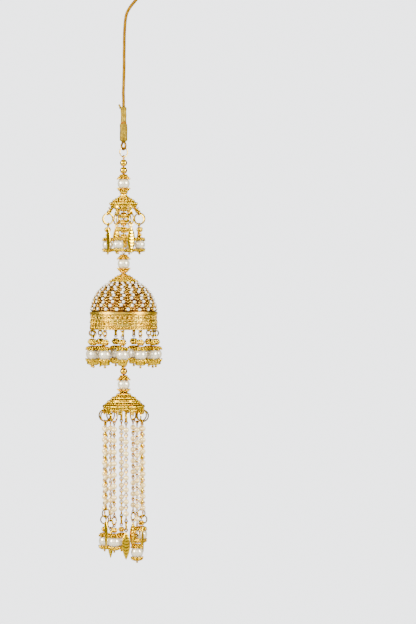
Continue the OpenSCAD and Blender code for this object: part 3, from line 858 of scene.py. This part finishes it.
def builtMesh(tree, form, material, crease=60.0, **values):
    # runs a tree on one small form and gives back the plain mesh
    source = finished("source", form, material, crease)
    holder = bpy.data.objects.new("holder", bpy.data.meshes.new("holder"))
    scene.collection.objects.link(holder)
    maker = holder.modifiers.new("maker", "NODES")
    maker.node_group = tree
    values = {"Piece": source, "Material": material, **values}
    for item in tree.interface.items_tree:
        if item.item_type == "SOCKET" and item.in_out == "INPUT" and item.name in values:
            maker[item.identifier] = values.pop(item.name)
    if values:
        print("inputs that the tree doesn't have:", sorted(values))
    view = bpy.context.evaluated_depsgraph_get()
    mesh = bpy.data.meshes.new_from_object(holder.evaluated_get(view))
    for o in (holder, source):
        old = o.data
        bpy.data.objects.remove(o)
        bpy.data.meshes.remove(old)
    return mesh


def joinedMeshes(name, meshes, material, crease=60.0):
    work = bmesh.new()
    for mesh in meshes:
        work.from_mesh(mesh)
        bpy.data.meshes.remove(mesh)
    whole = bpy.data.meshes.new(name)
    work.to_mesh(whole)
    work.free()
    return finishedMesh(name, whole, material, crease)


def ringRow(form, material, count, radius, height, first=0.0):
    return builtMesh(circleTree, form, material, Count=count, Radius=radius * mm, Height=height * mm,
                     **{"First Angle": math.radians(first)})


def granule(diameter):
    made = bmesh.new()
    bmesh.ops.create_icosphere(made, subdivisions=2 if diameter > 0.85 else 1, radius=diameter / 2)
    points = np.array([v.co for v in made.verts])
    faces = [tuple(v.index for v in f.verts) for f in made.faces]
    made.free()
    return points, faces


def ropeRow(radius, height, thick, turns, steps=7, sides=10):
    # a two-strand rope laid round the hanging axis
    around = turns * steps

    def pointAt(i, k):
        a, s = 2 * math.pi * i / around, 2 * math.pi * k / sides
        w = thick * (0.68 + 0.32 * abs(math.cos(s + a * turns / 2)))
        r = radius + w * math.cos(s)
        return (axisX + r * math.sin(a), -r * math.cos(a), height + w * math.sin(s))
    return sheetOf(around, sides, pointAt)


# petal caps, pearl drops and leaves


# each point of sides is (share of the rim's radius, what a round bowl adds to it, height above the rim)
petalShape = {
    "sides": [(0.56, 0.24, 1.45), (0.7, 0.19, 0.85), (0.88, 0.07, 0.45), (1.0, 0.0, 0.28)],
    "shoulder": 5, "cut": 0.8, "cutPower": 1.3, "swell": 0.08, "valley": 0.3, "ripple": 0.05,
    "edgeIn": 0.3, "edgeUp": 0.7,
}


def petalCap(pearlDiameter, rimRadius, top, rim, petals, samples, hole, full):
    # full is 0 for a slender cap and 1 for a round bowl; heights are from the pearl's centre
    shape = petalShape
    pearlRadius = pearlDiameter / 2 + gap
    neck = rimRadius * (0.32 + 0.16 * full)
    sides = [(rimRadius * (share + more * full), rim + height) for share, more, height in shape["sides"]]
    outer = smoothed([(hole, top), (neck, top), (neck * 1.3 + 0.25 * full, top - 0.4), *sides], steps=2)
    clear = math.sqrt(max(0, pearlRadius ** 2 - (rim + 0.6) ** 2)) + 0.08
    under = [(rimRadius * 0.98, rim + 0.08), (rimRadius * 0.8, rim + 0.35),
             (max(rimRadius * 0.6, clear), rim + 0.6),
             (hole + 0.2, pearlRadius + 0.05), (hole, pearlRadius + 0.05)]
    around = petals * samples
    shoulder, tip = shape["shoulder"], len(outer) - 1

    def pointAt(i, k):
        a = 2 * math.pi * k / around
        across = abs(((a * petals / (2 * math.pi)) % 1) * 2 - 1)  # 1 on a petal's middle
        notch = (1 - across) ** shape["cutPower"]
        if i <= tip:
            share = max(0.0, (i - shoulder) / (tip - shoulder))
            at = i - share * (tip - shoulder) * shape["cut"] * notch
            low = int(at)
            part = at - low
            r = outer[low][0] * (1 - part) + outer[min(low + 1, tip)][0] * part
            z = outer[low][1] * (1 - part) + outer[min(low + 1, tip)][1] * part
            lift = min(1.0, i / shoulder) if i > 2 else 0.0
            ripple = shape["ripple"] * math.cos(3 * math.pi * across)
            r += lift * (shape["swell"] * across - shape["valley"] * (1 - across) ** 2 + ripple)
        else:
            r, z = under[i - tip - 1]
            if i - tip - 1 < 2:
                r *= 1 - shape["edgeIn"] * notch
                z += shape["edgeUp"] * notch
        return (r * math.sin(a), -r * math.cos(a), z)
    return sheetOf(len(outer) + len(under), around, pointAt)


def capBalls(rimRadius, top, rim, petals, size, full):
    # granulation on a cap: on each petal's tip, on its middle, between petals and round the neck
    ball, balls = granule(size), []
    rows = [(0, 0.9, rim + 0.5, 1.0), (0, 0.66 + 0.2 * full, rim + 1.2, 1.0),
            (0.5, 0.56 + 0.22 * full, rim + 1.6, 0.9), (0, 0.42 + 0.24 * full, top - 0.6, 0.9)]
    for k in range(petals):
        for step, share, height, grow in rows:
            a, r = 2 * math.pi * (k + step) / petals, rimRadius * share
            balls.append(moved(ball, (r * math.sin(a), -r * math.cos(a), height), size=grow))
    return joined(balls)


# each row is (balls, degrees above the middle, first angle)
clusterSizes = {"ball": 0.5, "core": 0.6, "spread": 1.3, "rows": ((4, 48, 20), (6, 0, 0), (4, -48, 50))}


def clusterBead(diameter, sizes=clusterSizes):
    # a bead of small balls soldered together in three rows
    size = diameter * sizes["ball"]
    reach = (diameter - size) / 2
    ball, balls = granule(size), [bead(diameter * sizes["core"], sides=10, rows=6)]
    for count, lean, first in sizes["rows"]:
        rise = math.radians(lean)
        level = reach * math.cos(rise) * sizes["spread"]
        for k in range(count):
            a = 2 * math.pi * k / count + math.radians(first)
            balls.append(moved(ball, (level * math.sin(a), -level * math.cos(a), reach * math.sin(rise))))
    return joined(balls)


dropShape = {"petals": 6, "samples": 6, "ball": 0.95, "rimHeight": 0.32,
             "fullAbove": 0.9, "fullBelow": 1.0,
             "collar": 0.36, "collarWire": 0.22, "collarRise": 0.2, "footWire": 0.86}


def pearlDropForms(sizes):
    # metal and pearl of a drop whose eye's centre is the origin
    shape, eye, pin = dropShape, sizes["eye"], sizes["pin"]
    at = -eye - pin - gap
    metal = [wireRing(eye, pin, around=12), stem(-eye, at - 0.1, pin, sides=6)]
    for diameter in sizes["beads"]:
        at -= diameter / 2
        metal.append(moved(clusterBead(diameter), (0, 0, at)))
        at -= diameter / 2 + gap
    pearlHeight = at - sizes["above"]
    rim = sizes["pearl"] * shape["rimHeight"]
    for flip, top, full in ((False, sizes["above"], shape["fullAbove"]),
                            (True, sizes["below"], shape["fullBelow"])):
        cap = petalCap(sizes["pearl"], sizes["rim"], top, rim, shape["petals"], shape["samples"],
                       pin + gap, full)
        balls = capBalls(sizes["rim"], top, rim, shape["petals"], shape["ball"], full)
        collar = levelRing(sizes["rim"] * shape["collar"], shape["collarWire"], top - shape["collarWire"],
                           around=14, sides=5, rise=shape["collarRise"])
        metal += [moved(form, (0, 0, pearlHeight), flip=flip) for form in (cap, balls, collar)]
    knobHeight = pearlHeight - sizes["below"] - gap - sizes["knob"] / 2
    metal += [moved(bead(sizes["knob"], sides=12, rows=7), (0, 0, knobHeight)),
              stem(pearlHeight - shape["footWire"] * sizes["below"], knobHeight, pin, sides=6)]
    pearl = moved(bead(sizes["pearl"], pin + gap, sides=20, rows=12), (0, 0, pearlHeight))
    return joined(metal), pearl


leafSizes = {"length": 14.6, "width": 4.4, "thickness": 1.2, "loop": 0.8, "wire": 0.3, "ribs": 9,
             "flat": 0.42, "ridge": 0.34, "rib": 0.24, "edge": 0.05}


def leafForm(sizes):
    # ribbed in a herringbone from a middle ridge, alike on both sides
    rows, across = 55, 18
    half = sizes["thickness"] / 2

    def pointAt(i, k):
        t = 0.004 + 0.992 * i / (rows - 1)
        width = sizes["width"] / 2 * math.sin(math.pi * t ** 0.93) ** 0.85
        a = 2 * math.pi * k / across
        u = math.cos(a)
        fall = 1 - abs(u) ** 3
        rib = abs(math.sin(math.pi * (sizes["ribs"] * t + 0.9 * abs(u))))
        ridge = max(0.0, 1 - abs(u) * 4)
        thick = half * fall * (sizes["flat"] + sizes["ridge"] * ridge + sizes["rib"] * rib)
        thick = min(thick, width * 0.6) + sizes["edge"]
        side = 1 if math.sin(a) >= 0 else -1
        return (width * u, thick * side * min(1.0, 3 * abs(math.sin(a))),
                -sizes["loop"] - sizes["length"] * t)
    points, faces = sheetOf(rows, across, pointAt, rowsClose=False)
    faces = faces + [tuple(range(across)), tuple(reversed(range((rows - 1) * across, rows * across)))]
    return joined([(points, faces), wireRing(sizes["loop"], sizes["wire"], around=12)])


# pins, beads, pearls and caps on the hanging axis

pinSizes = {
    "wire": 0.3, "eye": 0.8, "hole": 0.36, "beadDiameter": 3.8, "pearlDiameter": 6.3,
    "capTop": 4.95, "capRim": 2.0, "capRadius": 3.5, "petals": 8, "samples": 14, "full": 0.35,
    "ball": 0.95, "collar": 1.28, "collarWire": 0.24,
    # eyes are (height, turn); foot is the lower cap's height
    "upper": {"eyes": [(-88.98, 125), (-137.35, 90)], "beads": [-92.04, -95.90], "pearl": -102.81,
              "foot": 5.4},
    "bell": {"eyes": [(-138.29, 0), (-192.46, 90)], "beads": [], "pearl": -144.40, "foot": 4.8,
             "holder": (-153.82, -155.02, 1.6)},  # the collar under the dome: top, foot and radius
    "tassel": {"eyes": [(-193.40, 0)], "beads": [-196.46, -200.32], "pearl": -207.23,
               "foot": 4.4, "end": -214.29, "knob": 2.0},
}


def pinForm(sizes, part):
    # a wire with an eye at its top, and an eye or a knob at its foot
    eyes = [moved(wireRing(sizes["eye"], sizes["wire"], turn, around=28, sides=10), (0, 0, z))
            for z, turn in part["eyes"]]
    foot = part["end"] if "end" in part else part["eyes"][1][0] + sizes["eye"]
    forms = [*eyes, stem(part["eyes"][0][0] - sizes["eye"], foot, sizes["wire"], sides=12)]
    if "holder" in part:
        forms.append(stem(*part["holder"], sides=24))
    if "knob" in part:
        forms.append(moved(bead(part["knob"], sides=20, rows=12), (0, 0, foot)))
    return joined(forms)


def capForms(sizes, part):
    # the cap on the pearl and the cap under it, each with its collar and granules
    caps = []
    for flip, top in ((False, sizes["capTop"]), (True, part["foot"])):
        cap = petalCap(sizes["pearlDiameter"], sizes["capRadius"], top, sizes["capRim"],
                       sizes["petals"], sizes["samples"], sizes["hole"], sizes["full"])
        collar = levelRing(sizes["collar"], sizes["collarWire"], top - 0.26, around=32, sides=8)
        balls = capBalls(sizes["capRadius"], top, sizes["capRim"], sizes["petals"], sizes["ball"],
                         sizes["full"])
        caps.append(moved(joined([cap, collar, balls]), (0, 0, part["pearl"]), flip=flip))
    return caps


def placeAxisPieces(sizes, label, body, prefix, beadNodes):
    # one pin with its beads, pearl and caps, for the CAD nodes whose names start with the prefix
    part = sizes[label]

    def place(name, form, material, crease, nodes, slot):
        piece = finished(label + name, moved(form, (axisX, 0, 0)), material, crease)
        settle(piece, body, nodes, slot)
    place("Pin", pinForm(sizes, part), gold, 40, [prefix + "_pin"], "gold")
    if part["beads"]:
        ball = bead(sizes["beadDiameter"], sizes["hole"], sides=32, rows=18)
        place("Beads", joined([moved(ball, (0, 0, z)) for z in part["beads"]]), gold, 80,
              beadNodes, "gold")
    pearl = bead(sizes["pearlDiameter"], sizes["hole"], sides=40, rows=24)
    place("Pearl", moved(pearl, (0, 0, part["pearl"])), pearlWhite, 80, [prefix + "_pearl"], "pearl")
    capTop, capBase = capForms(sizes, part)
    place("CapTop", capTop, gold, 50, [prefix + "_cap_top"], "gold")
    place("CapBase", capBase, gold, 50, [prefix + "_cap_base"], "gold")


placeAxisPieces(pinSizes, "upper", "upper_drop", "upper", ["top_bead_1", "top_bead_2"])
placeAxisPieces(pinSizes, "bell", "jhumka", "jhumka", [])
placeAxisPieces(pinSizes, "tassel", "tassel", "tassel", ["tassel_bead_1", "tassel_bead_2"])

topRingSizes = {"height": -86.44, "radius": 2.4, "wire": 0.3, "turn": 35.0}
topRing = wireRing(topRingSizes["radius"], topRingSizes["wire"], topRingSizes["turn"], around=48, sides=10)
topRing = moved(topRing, (axisX, 0, topRingSizes["height"]))
settle(finished("topRing", topRing, gold), "upper_drop", ["top_ring"], "gold")
print("pins, beads, pearls and caps made")

# upper umbrella with its column of beads and its charms


def archBalls(arch):
    # small balls along the upper edge of an arch; the origin is the arch's centre on the round wall
    reach, balls = arch["radius"] + arch["ball"] * 0.35, []
    spread = math.radians(arch["spread"])
    for a in np.linspace(-spread, spread, arch["balls"]):
        x = reach * math.sin(a)
        balls.append(moved(granule(arch["ball"]), (x, x * x / (2 * arch["wall"]), reach * math.cos(a))))
    return joined(balls)


def granuleRows(rows, material, top):
    # each row is (radius, height from the top, balls, diameter of a ball)
    return [ringRow(granule(d), material, count, r, top + z) for r, z, count, d in rows]


umbrellaSizes = {
    "top": -108.27,
    "rows": [(1.7, -0.9, 8, 1.0), (2.6, -1.8, 11, 1.3), (3.9, -2.6, 16, 1.4), (5.25, -3.45, 21, 1.45),
             (4.6, -3.15, 34, 0.55), (6.05, -4.15, 46, 0.55), (6.8, -4.95, 26, 1.6),
             (6.75, -6.15, 44, 0.7)],
    "arch": {"radius": 2.2, "height": -9.4, "wall": 7.6, "ball": 0.8, "balls": 8, "spread": 80},
    "column": {"count": 7, "diameter": 3.7, "hole": 0.36, "step": 3.76, "first": -109.93 - 1.85},
    # granules on a column bead: radius, share of a step down, balls, diameter of a ball
    "waists": [(1.75, 0, 9, 1.15), (1.2, 0.33, 7, 0.95), (1.2, -0.33, 7, 0.95)], "waistTurn": 24,
    "charms": 8, "charmRadius": 8.8, "firstAngle": -17.0, "ringHeight": -121.11, "ring": (2.8, 0.38),
    "eyeHeight": -124.05,
    "drop": {"eye": 0.75, "pin": 0.25, "beads": [3.2, 2.2], "pearl": 5.5, "rim": 3.0, "above": 3.9,
             "below": 3.9, "knob": 1.2},
}


def makeUmbrella(sizes):
    crown = copyOfNode("upperUmbrella", "upper_umbrella", reliefGold)
    settle(crown, "upper_drop", ["upper_umbrella"], "gold")
    arch = sizes["arch"]
    rows = granuleRows(sizes["rows"], reliefGold, sizes["top"])
    rows.append(ringRow(archBalls(arch), reliefGold, sizes["charms"], arch["wall"],
                        sizes["top"] + arch["height"], sizes["firstAngle"] + 180 / sizes["charms"]))
    settle(joinedMeshes("umbrellaGranules", rows, reliefGold), "upper_drop", ["upper_umbrella"], "gold")


def makeColumn(sizes):
    column = sizes["column"]
    form = bead(column["diameter"], column["hole"], sides=24, rows=14)
    beads = builtMesh(stringTree, form, gold, Count=column["count"], Step=column["step"] * mm,
                      Top=(axisX * mm, 0, column["first"] * mm))
    waists = [ringRow(granule(d), reliefGold, count, r, column["first"] - column["step"] * (i + down),
                      sizes["waistTurn"] * i)
              for i in range(column["count"]) for r, down, count, d in sizes["waists"]]
    for name, rows, metal in (("columnBeads", [beads], gold), ("columnGranules", waists, reliefGold)):
        settle(joinedMeshes(name, rows, metal, crease=80), "upper_drop", ["centre_beads"], "gold")


def makeUpperCharms(sizes):
    # jump rings that hold pearl drops and leaves by turns
    ring = wireRing(*sizes["ring"], turn=90, around=24)
    metal, pearl = pearlDropForms(sizes["drop"])
    r, height, first = sizes["charmRadius"], sizes["eyeHeight"], sizes["firstAngle"]
    count = sizes["charms"]
    drops = [ringRow(ring, gold, count, r, sizes["ringHeight"], first),
             ringRow(metal, gold, count // 2, r, height, first)]
    pearls = ringRow(pearl, pearlWhite, count // 2, r, height, first)
    leaves = ringRow(leafForm(leafSizes), reliefGold, count // 2, r, height, first + 360 / count)
    nodes = [f"upper_drop_{i + 1}" for i in range(count)]
    pearlNodes, leafNodes = nodes[::2], nodes[1::2]
    settle(joinedMeshes("upperDropMetal", drops, reliefGold), "upper_drop", pearlNodes + leafNodes, "gold")
    settle(joinedMeshes("upperDropPearls", [pearls], pearlWhite, crease=80), "upper_drop", pearlNodes,
           "pearl")
    settle(joinedMeshes("upperLeaves", [leaves], reliefGold, crease=50), "upper_drop", leafNodes, "gold")


makeUmbrella(umbrellaSizes)
makeColumn(umbrellaSizes)
makeUpperCharms(umbrellaSizes)
print("upper umbrella and its charms made")

# bell: cone cap, studded dome, band and pearl drops

# each stud is (diameter, rows, lowest row and step in degrees, share of the way to the next column)
bellSizes = {
    "coneTop": -149.26, "coneRows": [(2.1, -0.95, 14, 0.8), (3.3, -1.5, 19, 0.9), (4.5, -2.25, 25, 0.95),
                                     (5.75, -3.2, 31, 1.0), (6.95, -4.2, 32, 1.3)],
    "centre": -169.26, "shell": 16.6, "columns": 18,
    "seeds": [(1.7, 5, 11.5, 12.6, -0.1), (1.7, 5, 17.8, 12.6, 0.1), (1.8, 1, 4.4, 10.0, 0.5)],
    "seedSet": {"topSize": 0.8, "uneven": 0.014, "lift": 0.25},
    "balls": [(1.4, 13, 3.2, 4.9, 0.29), (1.4, 13, 3.9, 4.9, 0.71), (1.55, 10, 11.0, 5.6, 0.5),
              (1.5, 1, 4.6, 10.0, 0.0), (1.15, 5, 11.5, 12.6, 0.12), (1.15, 5, 17.8, 12.6, -0.12)],
    "ballSet": {"topSize": 0.5, "uneven": 0.012, "lift": 0.15},
    "dropRadius": 16.85, "drops": 11, "ringHeight": -180.50, "ring": (1.4, 0.4),
    "eyeHeight": -182.04,
    "drop": {"eye": 0.75, "pin": 0.25, "beads": [4.0], "pearl": 6.3, "rim": 3.4, "above": 4.3,
             "below": 5.5, "knob": 1.4},
}


def domeColumns(form, material, stud, sizes, topSize, uneven, lift):
    diameter, rows, lowest, step, share = stud
    return builtMesh(domeTree, form(diameter), material, Columns=sizes["columns"], Rows=rows,
                     Lowest=math.radians(lowest), Unevenness=uneven, Seed=rows + round(lowest),
                     **{"Shell Radius": (sizes["shell"] + lift) * mm, "Centre Height": sizes["centre"] * mm,
                        "Row Step": math.radians(step),
                        "First Angle": 2 * math.pi * share / sizes["columns"], "Top Size": topSize})


def seedBead(diameter):
    return bead(diameter, sides=12, rows=8)


def makeBell(sizes):
    settle(copyOfNode("coneCap", "cone_cap", reliefGold), "jhumka", ["cone_cap"], "gold")
    rows = granuleRows(sizes["coneRows"], reliefGold, sizes["coneTop"])
    settle(joinedMeshes("coneGranules", rows, reliefGold), "jhumka", ["cone_cap"], "gold")
    # the shell's faces above the dome's middle take the dark brown ground, and those below it the band's
    # gold
    shell = copyOfNode("bellShell", "dome", bellGround)
    shell.data.materials.append(bandGold)
    low = [p.center.z < (sizes["centre"] + 0.05) * mm for p in shell.data.polygons]
    shell.data.polygons.foreach_set("material_index", np.array(low, np.int32))
    settle(shell, "jhumka", ["dome"], "bell_ground")
    pearls = [domeColumns(seedBead, seedWhite, stud, sizes, **sizes["seedSet"]) for stud in sizes["seeds"]]
    settle(joinedMeshes("seedPearls", pearls, seedWhite, crease=80), "jhumka", ["dome"], "pearl")
    balls = [domeColumns(granule, studGold, stud, sizes, **sizes["ballSet"]) for stud in sizes["balls"]]
    settle(joinedMeshes("domeGoldBalls", balls, studGold), "jhumka", ["dome"], "gold")


# heights are from the dome's centre; rows are (radius, height, count, diameter)
bandSizes = {
    "centre": -169.26, "radius": 17.2, "repeats": 44,
    "arch": {"half": 0.82, "crown": -5.35, "foot": -6.8, "wire": 0.2, "stand": 0.05, "post": -4.2},
    "reed": {"heights": (-2.1, -4.0), "wire": 0.2, "stand": 0.02, "places": (-0.16, 0, 0.16)},
    "granules": [(17.28, -1.75, 132, 0.62), (17.2, -4.3, 132, 0.42), (17.32, -7.5, 110, 0.72)],
    "studs": [(17.15, -5.5, 44, 1.3), (17.2, -8.25, 66, 1.15)],
    # radius, height, thickness, turns
    "ropes": [(17.3, -6.95, 0.27, 88), (17.32, -8.95, 0.42, 66), (17.4, -0.75, 0.38, 132)],
}


def archForm(sizes):
    # an arched wire with its legs, and a straight post beside it, against the band
    arch = sizes["arch"]
    half, crown, foot, wire = arch["half"], arch["crown"], arch["foot"], arch["wire"]
    middle = (foot + crown) / 2
    path = [(-half, 0, foot), (-half, 0, middle), (-half, 0, crown)]
    path += [(-half * math.cos(a), 0, crown + half * math.sin(a))
             for a in np.linspace(0.3, math.pi - 0.3, 6)]
    path += [(half, 0, crown), (half, 0, middle), (half, 0, foot)]
    beside = sizes["radius"] * math.pi / sizes["repeats"]
    post = [(beside, 0, foot), (beside, 0, -5.6), (beside, 0, arch["post"])]
    return joined([wireAlong(path, wire, sides=6), wireAlong(post, wire * 1.1, sides=6)])


def makeBand(sizes):
    centre, repeats = sizes["centre"], sizes["repeats"]
    rows = granuleRows(sizes["granules"], bandGold, centre)
    settle(joinedMeshes("bandGranules", rows, bandGold), "jhumka", ["dome"], "gold")
    studs = [ringRow(seedBead(d), gold, count, r, centre + z, 180 / count)
             for r, z, count, d in sizes["studs"]]
    settle(joinedMeshes("bandStuds", studs, gold, crease=80), "jhumka", ["dome"], "gold")
    arches = ringRow(archForm(sizes), bandGold, repeats, sizes["radius"] + sizes["arch"]["stand"], centre,
                     180 / repeats)
    reed = sizes["reed"]
    wire = wireAlong([(0, 0, z) for z in np.linspace(*reed["heights"], 4)], reed["wire"], sides=6)
    reeds = [ringRow(wire, bandGold, repeats, sizes["radius"] + reed["stand"], centre,
                     (0.5 + share) * 360 / repeats) for share in reed["places"]]
    settle(joinedMeshes("bandArches", [arches, *reeds], bandGold), "jhumka", ["dome"], "gold")
    ropes = joined([ropeRow(r, centre + z, thick, turns) for r, z, thick, turns in sizes["ropes"]])
    settle(finished("bandRopes", ropes, bandGold, crease=70), "jhumka", ["dome"], "gold")


def makeBellDrops(sizes):
    ring = wireRing(*sizes["ring"], turn=90, around=16)
    metal, pearl = pearlDropForms(sizes["drop"])
    nodes = [f"jhumka_drop_{i + 1}" for i in range(sizes["drops"])]
    rows = [ringRow(ring, gold, sizes["drops"], sizes["dropRadius"], sizes["ringHeight"]),
            ringRow(metal, gold, sizes["drops"], sizes["dropRadius"], sizes["eyeHeight"])]
    settle(joinedMeshes("bellDropMetal", rows, reliefGold), "jhumka", nodes, "gold")
    pearls = ringRow(pearl, pearlWhite, sizes["drops"], sizes["dropRadius"], sizes["eyeHeight"])
    settle(joinedMeshes("bellDropPearls", [pearls], pearlWhite, crease=80), "jhumka", nodes, "pearl")


makeBell(bellSizes)
makeBand(bandSizes)
makeBellDrops(bellSizes)
print("bell and its drops made")

# tassel: tiered umbrella and ten strands

tasselSizes = {
    "tiersTop": -211.69,
    # radius, height from the top, balls, diameter of a ball
    "rows": [(1.9, -0.1, 10, 0.9), (3.3, -0.85, 13, 1.5), (4.5, -1.75, 26, 0.85), (5.75, -2.6, 22, 1.6),
             (6.9, -3.5, 38, 0.9), (8.05, -4.6, 31, 1.6), (9.2, -5.5, 50, 0.95), (10.35, -6.8, 40, 1.6),
             (10.4, -8.0, 64, 0.85)],
    "rope": {"radius": 10.3, "height": -8.75, "thick": 0.4, "turns": 44},
    "arch": {"radius": 2.2, "height": -10.4, "wall": 10.45, "ball": 0.9, "balls": 9, "spread": 85},
    "strandRadius": 10.1, "firstAngle": 9.0, "strands": 10,
    "lengths": [51, 54, 48.5, 46, 48, 50, 52, 49, 45, 48.5],
    "ringHeight": -223.38, "ring": (2.95, 0.4), "stringHeight": -226.47, "pearl": 2.9, "pitch": 6.4,
    "eye": 0.75, "wire": 0.3, "link": (0.85, 0.3), "lowRing": (2.15, 0.38), "lowRingDrop": 2.29,
    "collar": (0.36, 0.2), "collarSteps": (1.15, 1.6), "sunk": 0.3,
    "drop": {"eye": 0.75, "pin": 0.25, "beads": [3.2], "pearl": 6.3, "rim": 3.3, "above": 4.4,
             "below": 4.4, "knob": 1.2},
}


def makeTiers(sizes):
    settle(copyOfNode("tasselUmbrella", "tassel_umbrella", reliefGold), "tassel", ["tassel_umbrella"],
           "gold")
    top, arch, rope = sizes["tiersTop"], sizes["arch"], sizes["rope"]
    rows = granuleRows(sizes["rows"], reliefGold, top)
    rows.append(ringRow(archBalls(arch), reliefGold, sizes["strands"], arch["wall"],
                        top + arch["height"], sizes["firstAngle"]))
    settle(joinedMeshes("tierGranules", rows, reliefGold), "tassel", ["tassel_umbrella"], "gold")
    form = ropeRow(rope["radius"], top + rope["height"], rope["thick"], rope["turns"], steps=9, sides=12)
    settle(finished("tierRopes", form, reliefGold, crease=70), "tassel", ["tassel_umbrella"], "gold")


def pearlLink(sizes):
    # a pearl's lower wire and eye, which interlocks with the next pearl's upper one
    linkRadius, wire = sizes["link"]
    reach = sizes["pearl"] / 2 + 0.1 + linkRadius + wire
    return joined([stem(0.2 - sizes["pearl"] / 2, linkRadius - reach, wire, sides=6),
                   moved(wireRing(linkRadius, wire, around=12, sides=5), (0, 0, -reach))])


def strandEnds(sizes, firstPearl, lastPearl, lowEye):
    # the jump ring, the string's end eyes with their wire and collars, and the lower ring
    top, eye, wire = sizes["stringHeight"], sizes["eye"], sizes["wire"]
    inside = sizes["pearl"] / 2 - sizes["sunk"]
    loop = wireRing(eye, wire, around=12)
    forms = [moved(wireRing(*sizes["ring"], turn=90, around=24), (0, 0, sizes["ringHeight"])),
             moved(wireRing(*sizes["lowRing"], turn=90, around=18),
                   (0, 0, lowEye - sizes["lowRingDrop"])),
             moved(loop, (0, 0, top)), stem(top - eye, firstPearl + inside, wire, sides=6),
             moved(loop, (0, 0, lowEye)), stem(lastPearl - inside, lowEye + eye, wire, sides=6)]
    for step in sizes["collarSteps"]:
        forms += [levelRing(*sizes["collar"], z, around=10, sides=5) for z in (top - step, lowEye + step)]
    return forms


def makeStrands(sizes):
    # strings of linked pearls, each ending in a leaf or a pearl drop by turns
    pearls, metal, leaves, dropPearls = [], [], [], []
    dropMetal, dropPearl = pearlDropForms(sizes["drop"])
    leaf, lowLink = leafForm(leafSizes), pearlLink(sizes)
    pearl = bead(sizes["pearl"], sizes["link"][1] + 0.03, sides=14)
    upLink = moved(lowLink, flip=True, turn=90)
    for i, length in enumerate(sizes["lengths"]):
        angle = sizes["firstAngle"] + 360 / sizes["strands"] * i
        turn = math.radians(angle)
        x = axisX + sizes["strandRadius"] * math.sin(turn)
        y = -sizes["strandRadius"] * math.cos(turn)
        count = round(length / sizes["pitch"])
        pitch = (length - 2 * sizes["eye"]) / count
        first = sizes["stringHeight"] - sizes["eye"] - pitch / 2
        lowEye = sizes["stringHeight"] - length
        charm = lowEye - 2 * sizes["lowRingDrop"]

        def row(form, material, height, number):
            return builtMesh(stringTree, form, material, Count=number, Step=pitch * mm, Turn=turn,
                             Top=(x * mm, y * mm, height * mm))
        pearls.append(row(pearl, pearlPeach, first, count))
        metal += [row(lowLink, gold, first, count - 1), row(upLink, gold, first - pitch, count - 1)]
        ends = strandEnds(sizes, first, first - (count - 1) * pitch, lowEye)
        if i % 2:
            ends.append(moved(dropMetal, (0, 0, charm)))
            dropPearls.append(moved(dropPearl, (x, y, charm), turn=angle))
        else:
            leaves.append(moved(leaf, (x, y, charm), turn=angle))
        metal.append(loneMesh(moved(joined(ends), (x, y, 0), turn=angle), gold))
    nodes = [f"strand_{i + 1}" for i in range(sizes["strands"])]
    settle(joinedMeshes("strandPearls", pearls, pearlPeach, crease=80), "tassel", nodes, "strand_pearl")
    settle(joinedMeshes("strandWire", metal, gold), "tassel", nodes, "gold")
    settle(finished("strandLeaves", joined(leaves), reliefGold, crease=50), "tassel", nodes[::2], "gold")
    settle(finished("strandDropPearls", joined(dropPearls), pearlWhite, crease=80), "tassel", nodes[1::2],
           "pearl")


makeTiers(tasselSizes)
makeStrands(tasselSizes)
print("tassel made")

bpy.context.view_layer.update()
shown = [o for o in scene.objects if o.type == "MESH" and not o.hide_render]
print("triangles:", sum(len(p.vertices) - 2 for o in shown for p in o.data.polygons))
